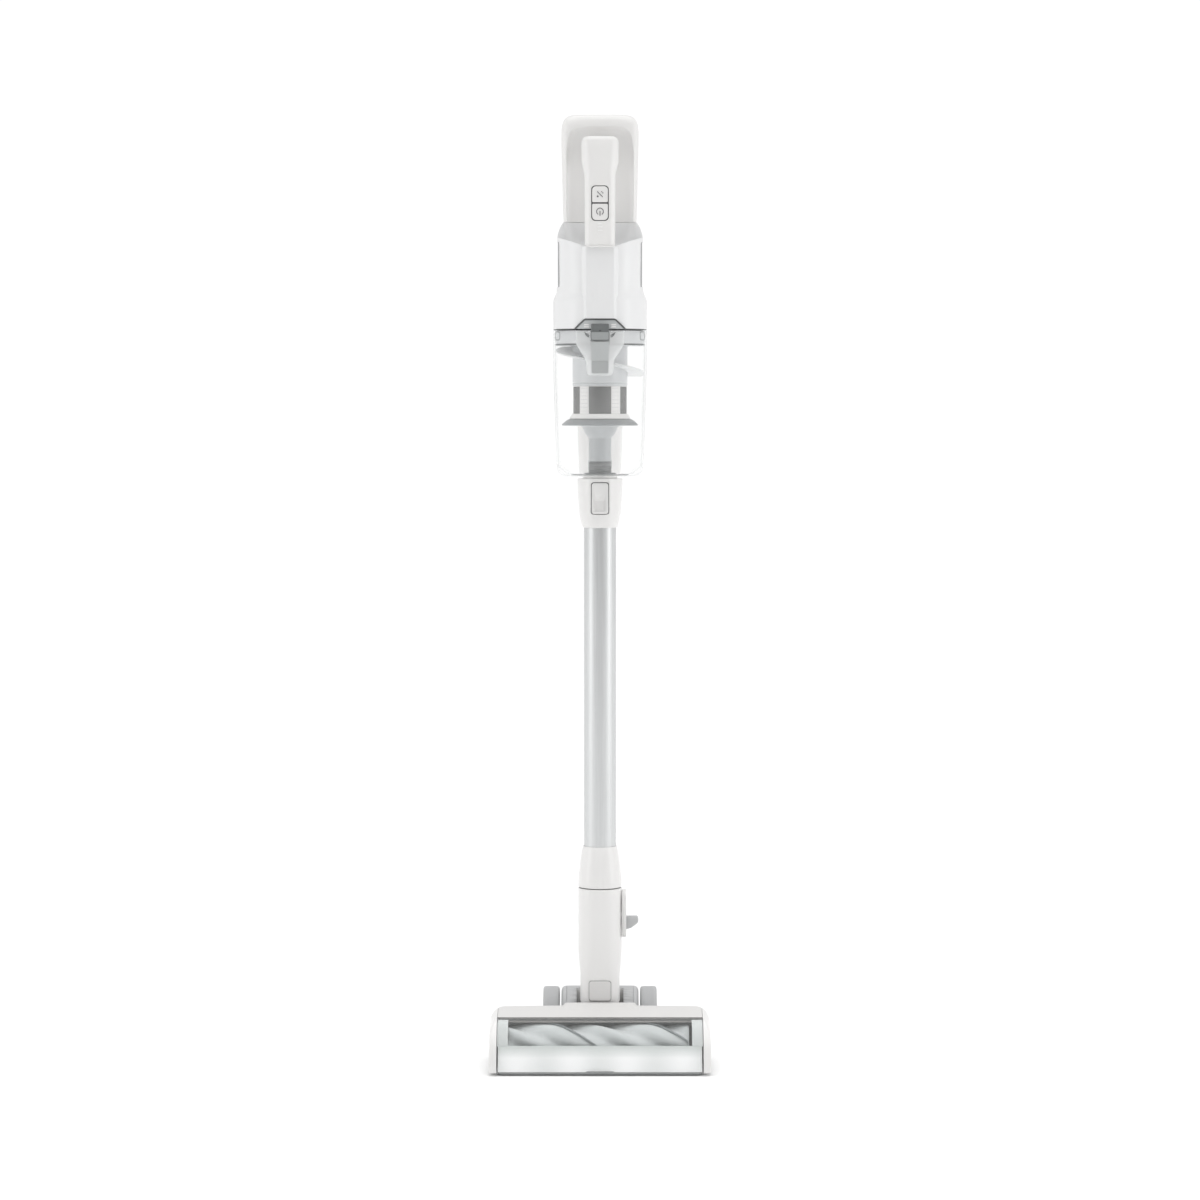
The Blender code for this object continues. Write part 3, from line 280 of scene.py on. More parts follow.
# Painted shade: grey sheets on the latch boss's clear middle facet, the lower one darker.
FACET_SHADE = clear("boss_facet_grey", (0.60, 0.62, 0.62), 0.70, 0.85, 0.15)
FACET_DEEP_SHADE = clear("boss_facet_dark", (0.50, 0.515, 0.515), 0.72, 0.88, 0.15)
SLOT_VEIL = clear("seal_grey", (0.30, 0.31, 0.31), 0.55, 0.85, 0.2)
SEPARATOR_WHITE = plastic("separator_white", (0.62, 0.632, 0.64), 0.30, 0.05, spread=0.006, coat=0.1)
CONE_GREY = plastic("cone_grey", (0.50, 0.515, 0.522), 0.30, 0.05, spread=0.01, coat=0.1)
RAMP_WHITE = clear("ramp_clear", (0.90, 0.91, 0.91), 0.50, 0.80, 0.25)
RIB_LINE = plastic("rib_line_grey", (0.55, 0.555, 0.56), 0.45, 0.1)
GASKET = plastic("gasket_grey", (0.12, 0.125, 0.125), 0.55, 0.2, 0.06)
VEIL_GREY = plastic("notch_grey", (0.56, 0.58, 0.58), 0.35, 0.1)
LIGHT_BAR = light_bar_material()
LAMP = plastic("lamp_white", (0.95, 0.96, 0.96), 0.25)


# Shapes


def linked(obj):
    bpy.context.scene.collection.objects.link(obj)
    return obj


def place(mesh, name, material, angle=35):
    mesh.transform(TO_FRAME)
    mesh.materials.clear()
    mesh.materials.append(material)
    mesh.shade_smooth()
    mesh.set_sharp_from_angle(angle=math.radians(angle))
    return linked(bpy.data.objects.new(name, mesh))


def made(shape, name, material, angle=35):
    bmesh.ops.recalc_face_normals(shape, faces=shape.faces)
    mesh = bpy.data.meshes.new(name)
    shape.to_mesh(mesh)
    shape.free()
    return place(mesh, name, material, angle)


def stands_for(obj):
    """A fine piece takes the place of the node that it is named after."""
    node = obj.name.removesuffix("_fine")
    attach(obj, BODY_OF[node])
    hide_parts(node)


def trim(obj, node):
    """A piece of its own on the same body as a node."""
    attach(obj, BODY_OF[node])


def soften(points, radius, ring=True, steps=4):
    """A line's corners made round, each by a short curve."""
    result = []
    count = len(points)
    for i, point in enumerate(points):
        if not ring and i in (0, count - 1):
            result.append(tuple(point))
            continue
        here = Vector(point)
        before = Vector(points[i - 1]) - here
        after = Vector(points[(i + 1) % count]) - here
        a = here + before.normalized() * min(radius, before.length * 0.45)
        b = here + after.normalized() * min(radius, after.length * 0.45)
        for k in range(steps + 1):
            t = k / steps
            result.append(tuple(a * (1 - t) ** 2 + here * 2 * t * (1 - t) + b * t * t))
    return result


def arc(centre, radius, start, end, steps):
    points = []
    for i in range(steps + 1):
        turn = math.radians(start + (end - start) * i / steps)
        points.append((centre[0] + radius * math.cos(turn), centre[1] + radius * math.sin(turn)))
    return points


def corner_line(u0, u1, v0, v1, bottom, top, steps=10):
    """A rectangle's outline whose lower and upper corners have their own radii."""
    line = arc((u1 - top, v1 - top), top, 0, 90, steps)
    line += arc((u0 + top, v1 - top), top, 90, 180, steps)
    line += arc((u0 + bottom, v0 + bottom), bottom, 180, 270, steps)
    return line + arc((u1 - bottom, v0 + bottom), bottom, 270, 360, steps)


def round_rect(u0, u1, v0, v1, radius):
    radius = min(radius, (u1 - u0) * 0.495, (v1 - v0) * 0.495)
    return corner_line(u0, u1, v0, v1, radius, radius, 8)


def ring_section(inner, outer, low, high):
    return [(inner, low), (outer, low), (outer, high), (inner, high)]


def lathe(name, profile, material, centre=(0, 0, 0), axis="Z", steps=96, ring=True, round_by=0.0005):
    """A profile of (radius, height) turned about an axis; its corners are rounded first."""
    if round_by:
        profile = soften(profile, round_by, ring)
    shape = bmesh.new()
    rows = []
    for radius, height in profile:
        if radius < 1e-6:
            rows.append([shape.verts.new(spun(0, 0, height, centre, axis))])
            continue
        turns = [2 * math.pi * k / steps for k in range(steps)]
        rows.append([shape.verts.new(spun(radius, t, height, centre, axis)) for t in turns])
    pairs = list(zip(rows, rows[1:]))
    if ring:
        pairs.append((rows[-1], rows[0]))
    for low, high in pairs:
        for k in range(steps):
            j = (k + 1) % steps
            corners = [low[k % len(low)], low[j % len(low)], high[j % len(high)], high[k % len(high)]]
            corners = list(dict.fromkeys(corners))
            if len(corners) > 2:
                shape.faces.new(corners)
    return made(shape, name, material)


def turned(name, profile, material, steps, round_by):
    """A ring on the bin's axis."""
    return lathe(name, profile, material, (0, BIN_Y, 0), "Z", steps, True, round_by)


def on_axle(name, profile, material, steps, round_by):
    return lathe(name, profile, material, (0, *AXLE), "X", steps, True, round_by)


def spun(radius, turn, height, centre, axis):
    u, v = radius * math.cos(turn), radius * math.sin(turn)
    if axis == "Z":
        return (centre[0] + u, centre[1] + v, centre[2] + height)
    return (centre[0] + height, centre[1] + u, centre[2] + v)


def eased(keys, between):
    """Rows of numbers filled in between key rows by a smooth curve that doesn't overshoot."""
    rows = []
    for i in range(len(keys) - 1):
        p1, p2 = keys[i], keys[i + 1]
        p0 = keys[max(i - 1, 0)]
        p3 = keys[min(i + 2, len(keys) - 1)]
        for k in range(between):
            t = k / between
            heights = (p0[0], p1[0], p2[0], p3[0])
            rows.append([hermite(*values, t, *heights) for values in zip(p0, p1, p2, p3)])
    rows.append(list(keys[-1]))
    return rows


def hermite(a, b, c, d, t, z0, z1, z2, z3):
    """A monotone cubic between b and c."""
    step = z2 - z1
    slope = (c - b) / step
    before = (b - a) / (z1 - z0) if z1 != z0 else slope
    after = (d - c) / (z3 - z2) if z3 != z2 else slope
    start = 0 if before * slope <= 0 else 2 * before * slope / (before + slope)
    end = 0 if after * slope <= 0 else 2 * after * slope / (after + slope)
    h1 = 2 * t**3 - 3 * t**2 + 1
    h2 = t**3 - 2 * t**2 + t
    h3 = -2 * t**3 + 3 * t**2
    h4 = t**3 - t**2
    return h1 * b + h2 * step * start + h3 * c + h4 * step * end


def oval(height, half_x, half_y, centre_y=0.0, power=2.0, count=112):
    ring = []
    for i in range(count):
        turn = 2 * math.pi * (i + 0.5) / count
        c, s = math.cos(turn), math.sin(turn)
        x = half_x * math.copysign(abs(c) ** (2 / power), c)
        y = half_y * math.copysign(abs(s) ** (2 / power), s)
        ring.append((x, centre_y + y, height))
    return ring


def full(row):
    """A key row with its centre and power filled in."""
    height, half_x, half_y, *rest = row
    centre_y = rest[0] if rest else 0.0
    power = rest[1] if len(rest) > 1 else 2.0
    return [height, half_x, half_y, centre_y, power]


def sections(keys, between, count=112):
    """Oval sections, smoothed between the key ones."""
    return [oval(*row, count=count) for row in eased([full(row) for row in keys], between)]


def body_loft(name, keys, material, between=6, angle=35, count=112):
    return skin(name, sections(keys, between, count), material, angle)


def joined(shape, loops):
    """Faces from each loop of vertices to the next."""
    for low, high in zip(loops, loops[1:]):
        for i in range(len(low)):
            j = (i + 1) % len(low)
            shape.faces.new((low[i], low[j], high[j], high[i]))


def skin(name, rings, material, angle=35, hollow=False):
    """A solid through rings of points. A hollow one runs back to its first ring and needs no ends."""
    shape = bmesh.new()
    loops = [[shape.verts.new(point) for point in ring] for ring in rings]
    if hollow:
        joined(shape, loops + loops[:1])
    else:
        joined(shape, loops)
        shape.faces.new(loops[0][::-1])
        shape.faces.new(loops[-1])
    return made(shape, name, material, angle)


PLANES = {
    "XY": lambda u, v, w: (u, v, w),
    "XZ": lambda u, v, w: (u, w, v),
    "YZ": lambda u, v, w: (w, u, v),
}


def evaluated(obj):
    bpy.context.view_layer.update()
    graph = bpy.context.evaluated_depsgraph_get()
    return bpy.data.meshes.new_from_object(obj.evaluated_get(graph))


def curve_mesh(name, curve, loops, closed):
    """The mesh of a curve laid through loops of points."""
    for loop in loops:
        spline = curve.splines.new("POLY")
        spline.points.add(len(loop) - 1)
        for point, at in zip(spline.points, loop):
            point.co = (*at, 1)
        spline.use_cyclic_u = closed
    guide = linked(bpy.data.objects.new(name + "_guide", curve))
    mesh = evaluated(guide)
    bpy.data.objects.remove(guide, do_unlink=True)
    return mesh


def slab(name, outline, low, high, plane, material, edge=0.0005, holes=(), angle=35):
    """A flat outline with thickness and rounded edges, kept within its size."""
    curve = bpy.data.curves.new(name, "CURVE")
    curve.dimensions = "2D"
    curve.fill_mode = "BOTH"
    curve.extrude = (high - low) / 2 - edge
    curve.bevel_depth = edge
    curve.bevel_resolution = 2
    curve.offset = -edge
    loops = [[(u, v, 0) for u, v in loop] for loop in (outline, *holes)]
    mesh = curve_mesh(name, curve, loops, True)
    shape = bmesh.new()
    shape.from_mesh(mesh)
    bpy.data.meshes.remove(mesh)
    middle = (low + high) / 2
    for vert in shape.verts:
        vert.co = PLANES[plane](vert.co.x, vert.co.y, vert.co.z + middle)
    bmesh.ops.remove_doubles(shape, verts=shape.verts, dist=0.0000005)
    return made(shape, name, material, angle)


def plate(name, half, low, high, radius, front, rear, material, edge=0.0001):
    """An upright plate with round corners, centred across, between two heights and two depths."""
    return slab(name, round_rect(-half, half, low, high, radius), front, rear, "XZ", material, edge)


def bevelled(shape, width, segments):
    edges = shape.edges[:]
    bmesh.ops.bevel(shape, geom=edges, offset=width, segments=segments, profile=0.5, affect="EDGES")


def block(name, low, high, material, radius=0.001, segments=4):
    """A box with rounded edges."""
    shape = bmesh.new()
    bmesh.ops.create_cube(shape, size=1.0)
    size = Vector(high) - Vector(low)
    bmesh.ops.scale(shape, vec=size, verts=shape.verts)
    bmesh.ops.translate(shape, vec=(Vector(high) + Vector(low)) / 2, verts=shape.verts)
    if radius:
        bevelled(shape, radius, segments)
    return made(shape, name, material, 50)


def rod(name, start, end, radius, material, sides=48, edge=0.0004):
    """A round bar along +X or +Z between two points, with its rims rounded."""
    start, end = Vector(start), Vector(end)
    axis = "X" if end.x > start.x else "Z"
    length = (end - start).length
    profile = [(0, 0), (radius, 0), (radius, length), (0, length)]
    return lathe(name, profile, material, start, axis, sides, False, edge)


def rod_along_y(name, front, rear, height, radius):
    """A round steel bar along Y, in the middle plane."""
    shape = bmesh.new()
    size = {"radius1": radius, "radius2": radius, "depth": rear - front}
    bmesh.ops.create_cone(shape, cap_ends=True, segments=48, **size)
    bmesh.ops.rotate(shape, verts=shape.verts, matrix=Matrix.Rotation(math.pi / 2, 3, "X"))
    bmesh.ops.translate(shape, verts=shape.verts, vec=(0, (front + rear) / 2, height))
    return made(shape, name, STEEL)


def shaped(obj, others, operation="DIFFERENCE", edge=0.0, angle=35, harden=True):
    """Applies Booleans with other shapes, which are then removed, and rounds the edges left."""
    for other in others:
        modifier = obj.modifiers.new("shape", "BOOLEAN")
        modifier.operation = operation
        modifier.object = other
    if edge:
        bevel = obj.modifiers.new("edges", "BEVEL")
        bevel.width = edge
        bevel.segments = 2
        bevel.limit_method = "ANGLE"
        bevel.angle_limit = math.radians(50)
        bevel.use_clamp_overlap = True
        bevel.harden_normals = harden
    mesh = evaluated(obj)
    if not mesh.polygons:
        raise RuntimeError(f"{obj.name} is empty after its Booleans")
    obj.modifiers.clear()
    obj.data = mesh
    mesh.shade_smooth()
    mesh.set_sharp_from_angle(angle=math.radians(angle))
    for other in others:
        bpy.data.objects.remove(other, do_unlink=True)
    return obj


def wire(name, points, radius, material):
    """A thin round line through points."""
    curve = bpy.data.curves.new(name, "CURVE")
    curve.dimensions = "3D"
    curve.bevel_depth = radius
    curve.bevel_resolution = 3
    curve.use_fill_caps = True
    mesh = curve_mesh(name, curve, [points], False)
    return place(mesh, name, material, 50)


# Wand


def make_wand():
    pipe = [(0.0186, 0.6405), (0.0186, 0.2155), (0.0172, 0.2155), (0.0172, 0.6405)]
    stands_for(lathe("wand_tube_fine", pipe, TUBE, round_by=0.0003, steps=128))
    lower = [
        (0.0189, 0.2500), (0.0196, 0.2500), (0.0203, 0.2478), (0.0222, 0.2377), (0.0233, 0.2283),
        (0.0245, 0.2180), (0.0252, 0.2090), (0.0253, 0.2022), (0.0202, 0.2022), (0.0202, 0.1610),
        (0.0170, 0.1610), (0.0170, 0.2150), (0.0189, 0.2150),
    ]
    stands_for(lathe("lower_collar_fine", lower, WHITE, steps=128, round_by=0.0008))
    upper = [
        (0.0205, 0.6780), (0.0263, 0.6780), (0.0259, 0.6660), (0.0252, 0.6530), (0.0238, 0.6367),
        (0.0227, 0.6298), (0.0207, 0.6228), (0.0194, 0.6212), (0.0189, 0.6212), (0.0189, 0.6410),
        (0.0205, 0.6440),
    ]
    collar = lathe("upper_collar_fine", upper, WHITE, steps=128, round_by=0.0008)
    pocket = plate("pocket", 0.0105, 0.6367, 0.6741, 0.0034, -0.04, -0.0214, SLOT_GREY, 0)
    stands_for(shaped(collar, [pocket], edge=0.0004))
    floor = plate("button_pocket_floor", 0.0107, 0.6365, 0.6743, 0.0034, -0.0221, -0.0216, SLOT_GREY)
    trim(floor, "upper_collar")
    stands_for(make_wand_button())


def make_wand_button():
    """The wand button, with a thumb hollow in its lower half."""
    outline = round_rect(-0.0096, 0.0096, 0.6376, 0.6732, 0.0030)
    button = slab("wand_button_fine", outline, -0.0276, -0.0242, "XZ", BUTTON_WHITE, 0.0007)
    hollow = plate("hollow", 0.0055, 0.6405, 0.6530, 0.0012, -0.03, -0.0268, WHITE, 0)
    return shaped(button, [hollow], edge=0.0003)


# Neck


def make_neck():
    """The neck's housing, open through its middle, with its front cover and its pedal at the back."""
    outer = [
        (0.0570, 0.0205, 0.0213, 0, 3.0), (0.0585, 0.0222, 0.0230, 0, 3.1),
        (0.0610, 0.0230, 0.0238, 0, 3.2), (0.0980, 0.0232, 0.0240, 0, 3.0),
        (0.1120, 0.0243, 0.0247, 0, 2.4), (0.1300, 0.0254, 0.0254),
        (0.2004, 0.0254, 0.0254), (0.2010, 0.0249, 0.0249),
    ]
    inner = [
        (0.2010, 0.0210, 0.0210), (0.2006, 0.0207, 0.0207), (0.1560, 0.0207, 0.0207),
        (0.1500, 0.0190, 0.0190), (0.1000, 0.0190, 0.0190, 0, 2.2), (0.0570, 0.0185, 0.0190, 0, 2.6),
    ]
    rings = sections(outer, 8) + sections(inner, 4)
    housing = skin("neck_housing_fine", rings, WHITE, 40, hollow=True)
    recess = plate("recess", 0.0132, 0.0709, 0.0951, 0.0032, -0.03, -0.0237, WHITE, 0)
    pin_hole = rod_along_y("pin_room", 0.0100, 0.0455, PIN_Z, 0.0043)
    swing = arc((0, PIN_Z), 0.0265, 180, 360, 48)
    swing += [(0.04, PIN_Z), (0.04, 0.21), (-0.04, 0.21), (-0.04, PIN_Z)]
    shaped(housing, [slab("swing", swing, -0.05, 0.06, "XZ", WHITE, 0)], "INTERSECT")
    stands_for(shaped(housing, [recess, pin_hole], edge=0.0003))
    seam = ring_section(0.0212, 0.0247, 0.2008, 0.2014)
    trim(lathe("neck_top_seam", seam, LINE_GREY, steps=96, round_by=0.0001), "neck_housing")
    ground = plate("pivot_cover_ground", 0.0131, 0.0710, 0.0950, 0.0031, -0.0240, -0.0236, LINE_GREY)
    trim(ground, "neck_housing")
    cover = round_rect(-0.0125, 0.0125, 0.0716, 0.0944, 0.0030)
    # Painted shade: the pivot cover is darker than the neck's white.
    stands_for(slab("pivot_cover_fine", cover, -0.0252, -0.0240, "XZ", SHADED_PANEL_WHITE, 0.0005))
    stands_for(make_pedal_housing())
    stands_for(make_pedal())


def make_pedal_housing():
    line = [(-0.0095, 0.1440), (0.0095, 0.1440)] + arc((0, 0.1895), 0.0095, 0, 180, 24)
    case = slab("pedal_housing_fine", line, 0.0257, 0.0307, "YZ", WHITE, 0.0012)
    window = block("pedal_window", (0.02, -0.0062, 0.1465), (0.04, 0.0062, 0.1715), WHITE, 0.0012)
    return shaped(case, [window], edge=0.0003)


def make_pedal():
    """The pedal's lever: a flat tread with grooves across it, and a slanted underside."""
    line = [
        (0.0285, 0.1520), (0.0362, 0.1540), (0.0436, 0.1596), (0.0449, 0.1620), (0.0445, 0.1662),
        (0.0432, 0.1673), (0.0285, 0.1673),
    ]
    lever = slab("release_pedal_fine", soften(line, 0.0012), -0.0056, 0.0056, "XZ", GREY, 0.0009)
    grooves = []
    for k in range(4):
        x = 0.0345 + 0.0024 * k
        low, high = (x, -0.0046, 0.1668), (x + 0.0009, 0.0046, 0.1690)
        grooves.append(block(f"groove_{k}", low, high, GREY, 0.0003, 2))
    return shaped(lever, grooves)


def make_yoke():
    """The pitch drum with its round ends, cut away for the neck, and the lug for the swivel pin."""
    line = arc(AXLE, 0.0400, 50, 200, 64) + arc(AXLE, 0.0325, 200, 410, 72)
    yoke = slab("swivel_yoke_fine", line, -0.0452, 0.0452, "YZ", GREY, 0.0055, angle=30)
    right = [(0.0274, -0.05), (0.0274, 0.15)]
    slot = slab("neck_slot", right + [(-x, z) for x, z in right[::-1]], -0.05, 0.0265, "XZ", GREY, 0)
    lug = block("lug", (-0.0170, 0.0272, 0.0600), (0.0170, 0.0460, 0.0965), GREY, 0.0030)
    grooves = []
    for side in (-1, 1):
        x0, x1 = sorted((side * 0.0388, side * 0.0393))
        ring = on_axle(f"groove_{side}", ring_section(0.0392, 0.0430, x0, x1), GREY, 96, 0)
        grooves.append(ring)
    bore = rod("yoke_bore", (-0.06, *AXLE), (0.06, *AXLE), BORE, GREY, 32, 0)
    hole = rod_along_y("pin_hole", 0.0100, 0.0470, PIN_Z, 0.0043)
    shaped(yoke, [slot])
    shaped(yoke, [lug], "UNION")
    stands_for(shaped(yoke, [*grooves, bore, hole], edge=0.0005))
    # Painted light: a white sheet on the slot's back wall, lighter than the grey yoke, lifts the shade in
    # the deep narrow slot behind the neck.
    face = plate("yoke_slot_face", 0.0274, 0.0120, 0.0775, 0.0015, 0.0247, 0.0263, WHITE, 0.0002)
    trim(face, "swivel_yoke")
    pin = rod_along_y("swivel_pin_fine", 0.0196, 0.0450, PIN_Z, 0.0040)
    slot = block("slot", (-0.0032, 0.0442, 0.0826), (0.0032, 0.0460, 0.0834), STEEL, 0)
    stands_for(shaped(pin, [slot], edge=0.0004))
    make_hose()


def make_hose():
    """The ribbed suction hose from the head's port up into the neck, with a rib every 3.2 mm."""
    route = [(-0.0258, 0.0262), (-0.0150, 0.0300), (-0.0050, 0.0410), (-0.0005, 0.0560), (0, 0.0720)]
    line = [Vector((0, *point)) for point in soften(route, 0.009, False, 8)]
    dense = [line[0]]
    for a, b in zip(line, line[1:]):
        steps = max(1, round((b - a).length / 0.0004))
        dense += [a.lerp(b, (k + 1) / steps) for k in range(steps)]
    rib_gap = 0.0032
    rings, walked = [], 0.0
    for i, point in enumerate(dense):
        before, after = dense[max(i - 6, 0)], dense[min(i + 6, len(dense) - 1)]
        if i:
            walked += (point - dense[i - 1]).length
        radius = 0.0106 + 0.0008 * math.sin(2 * math.pi * walked / rib_gap)
        along = (after - before).normalized()
        side = Vector((1, 0, 0))
        up = along.cross(side)
        turns = [2 * math.pi * k / 40 for k in range(40)]
        rings.append([point + side * radius * math.cos(t) + up * radius * math.sin(t) for t in turns])
    hose = skin("suction_hose_fine", rings, RUBBER, 80)
    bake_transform(hose)
    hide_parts("suction_hose")


# Floor head


def head_line():
    """The head's outer side line (Y, Z), from its rear foot over the crest to the window's top."""
    line = [
        (0.0020, 0.0045), (0.0020, 0.0200), (0.0005, 0.0380), (-0.0060, 0.0545), (-0.0170, 0.0645),
        (-0.0300, 0.0677), (-0.0500, 0.0652), (-0.0700, 0.0603),
    ]
    return soften(line, 0.009, False, 6)


def window_line(start=90.0, end=180.0, steps=40):
    """The window's outer side line (Y, Z), a quarter of an ellipse."""
    line = []
    for y, z in arc((0, 0), 1.0, start, end, steps):
        line.append((-0.0704 + 0.0435 * y, 0.0035 + 0.0568 * z))
    return line


def inset(points, distance):
    moved = []
    for i, (u, v) in enumerate(points):
        before = points[max(i - 1, 0)]
        after = points[min(i + 1, len(points) - 1)]
        along = Vector((after[0] - before[0], after[1] - before[1])).normalized()
        moved.append((u - along.y * distance, v + along.x * distance))
    return moved


def strip(points, thickness):
    return points + inset(points, thickness)[::-1]


def bays(half):
    """The rooms at the head's back for the yoke and, out to a half width, for the wheels."""
    yoke_bay = block("yoke_bay", (-0.0475, -0.0275, -0.01), (0.0475, 0.1, 0.1), WHITE, 0)
    wheel_bay = block("wheel_bay", (-half, -0.0075, -0.01), (half, 0.1, 0.1), WHITE, 0)
    return [yoke_bay, wheel_bay]


def hose_port():
    return rod_along_y("port", -0.055, -0.026, 0.0260, 0.0120)


def make_cover():
    """The white cover, with a raised lip in front of the neck, and a painted shadow line under its front
    edge.
    """
    rings = []
    for k in range(237):
        x = COVER_HALF * (k / 118 - 1)
        line = []
        for y, z in head_line():
            line.append((y, z + lip_rise(x, y) - crown_drop(x, z)))
        rings.append([(x, y, z) for y, z in strip(line, 0.0022)])
    # The cover's darker white is painted shade on its up-facing top.
    cover = skin("head_cover_fine", rings, SHADED_HEAD_WHITE, 40)
    stands_for(shaped(cover, bays(0.0740)))
    # Painted shadow: a dark strip under the cover's front edge.
    edge = soften([(-0.0706, 0.0602), (-0.0708, 0.0590), (-0.0690, 0.0590), (-0.0690, 0.0602)], 0.0002)
    trim(slab("cover_edge_shadow", edge, -COVER_HALF, COVER_HALF, "YZ", LINER_AND_SHADOW, 0.0001), "head_cover")


def eased_step(value, low, high):
    share = min(max((value - low) / (high - low), 0.0), 1.0)
    return share * share * (3 - 2 * share)


def lip_rise(x, y):
    """The lip's height over the crest: highest by the neck, gone by the middle of the slope."""
    along = eased_step(y, -0.0520, -0.0330)
    across = 1 - eased_step(abs(x), 0.0395, 0.0440)
    return 0.0034 * along * across


def crown_drop(x, z, low=0.0590):
    """How far the head's top falls towards its ends, where it turns over a round shoulder."""
    reach = abs(x)
    shoulder = 0.0165
    past = min(max(reach - 0.1105, 0.0), 0.0162)
    drop = 0.0012 * (reach / HEAD_HALF) ** 2 + shoulder - math.sqrt(shoulder**2 - past**2)
    return drop * eased_step(z, low, 0.0668)


def crown(obj):
    """Lowers the head's top towards its ends."""
    for vert in obj.data.vertices:
        vert.co.z -= crown_drop(vert.co.x, vert.co.z)


def make_window():
    """The clear window: one curved sheet, a frosted strip down each side and a slot at its foot."""
    sheet = strip(window_line(), 0.0022)
    stands_for(slab("head_window_fine", sheet, -COVER_HALF, COVER_HALF, "YZ", WINDOW, 0.0005))
    notch = plate("window_foot_slot", 0.0155, 0.0047, 0.0057, 0.0004, -0.1142, -0.1134, SLOT_VEIL)
    trim(notch, "head_window")
    inner = inset(window_line(94, 148, 30), 0.0024)
    line = strip(inner, 0.0011)
    for side in (-1, 1):
        x0, x1 = sorted((side * 0.1052, side * 0.1176))
        trim(slab(f"window_frame_{SIDES[side]}", line, x0, x1, "YZ", FROST, 0.0003), "head_window")


def make_end_cap(side):
    """A side cap, whose outer face turns over round shoulders."""
    name = f"end_cap_{SIDES[side]}"
    outline = head_line() + window_line()[1:]
    middle = -0.0560
    rings = []
    for k in range(21):
        turn = math.pi / 2 * k / 20
        reach = COVER_HALF + 0.0004 + (HEAD_HALF - COVER_HALF - 0.0004) * math.sin(turn)
        shrink = 1 - 0.035 * (1 - math.cos(turn))
        low = 0.0590 - 0.0450 * (1 - math.cos(turn))
        ring = []
        for y, z in outline:
            ring.append((side * reach, middle + (y - middle) * shrink, z - crown_drop(reach, z, low)))
        rings.append(ring)
    stands_for(skin(name + "_fine", rings, WHITE, 40))


def chassis_line():
    top = inset(head_line(), 0.0027)[:-1]
    front = arc(ROLL_AXIS, 0.0288, 64, -50, 48)
    return top + [(-0.0616, 0.0592)] + front + [(front[-1][0], 0.0046)]


def make_chassis():
    chassis = slab("head_chassis_fine", chassis_line(), -0.1166, 0.1166, "YZ", PALE_GREY, 0.0006)
    shaped(chassis, bays(0.0670))
    parts = [block("pan", (-0.0455, -0.0300, 0.0047), (0.0455, 0.0520, 0.0060), PALE_GREY, 0.0004)]
    for side in (-1, 1):
        low, high = sorted((side * 0.0672, side * 0.0735))
        line = [(-0.0065, 0.0140)] + arc(AXLE, 0.0090, -100, 100, 32) + [(-0.0065, 0.0560)]
        parts.append(slab(f"arm_{side}", line, low, high, "YZ", PALE_GREY, 0.0010))
    shaped(chassis, parts, "UNION")
    low, high = (-0.1180, -0.0220, 0.0300), (-0.0500, -0.0220, 0.0300)
    motor_bay = rod("motor_bay", low, high, 0.0134, PALE_GREY, 48, 0)
    belt_bay = block("belt_bay", (-0.1180, -0.0680, 0.0160), (-0.1078, -0.0100, 0.0430), PALE_GREY, 0)
    axle_hole = rod("axle_hole", (-0.09, *AXLE), (0.09, *AXLE), BORE, PALE_GREY, 32, 0)
    shaped(chassis, [motor_bay, belt_bay, axle_hole, hose_port()], edge=0.0004)
    crown(chassis)
    stands_for(chassis)


def make_liner():
    over = arc(ROLL_AXIS, 0.0275, -46, 98, 64)
    under = arc(ROLL_AXIS, 0.0264, 98, -46, 64)
    liner = slab("chamber_liner_fine", over + under, -0.1076, 0.1165, "YZ", LINER_AND_SHADOW, 0.0003)
    stands_for(shaped(liner, [hose_port()], edge=0.0003))


def make_light_bar():
    """The frosted bar behind the window's foot, with four lamps in it."""
    outer = inset(window_line(147.0, 179.2, 24), 0.0026)
    bar = slab("light_bar_fine", strip(outer, 0.0020), -0.1164, 0.1164, "YZ", LIGHT_BAR, 0.0004)
    lamps = inset(window_line(158.0, 168.0, 8), 0.0047)
    for k, x in enumerate((-0.0945, -0.0315, 0.0315, 0.0945)):
        lamp = slab(f"lamp_{k + 1}", strip(lamps, 0.0018), x - 0.0062, x + 0.0062, "YZ", LAMP, 0.0008)
        trim(lamp, "light_bar")
    stands_for(bar)


def make_sole():
    outline = round_rect(-0.1164, 0.1164, -0.1105, -0.0290, 0.006)
    opening = round_rect(-0.1040, 0.1040, -0.0940, -0.0525, 0.004)
    pockets = []
    for side in (-1, 1):
        u0, u1 = sorted((side * 0.0825, side * 0.0975))
        pockets.append(round_rect(u0, u1, -0.1070, -0.0960, 0.001))
    sole = slab("sole_plate_fine", outline, 0.0012, 0.0042, "XY", MID_GREY, 0.0006, (opening, *pockets))
    stands_for(sole)


def helix_angle(x):
    """How far the roll's lobes have turned at a place along it."""
    start, pitch = -0.057, 0.225
    return math.pi / 2 + 2 * math.pi * (x - start) / pitch


def on_roll(x, radius, turn):
    return (x, ROLL_AXIS[0] + radius * math.cos(turn), ROLL_AXIS[1] + radius * math.sin(turn))


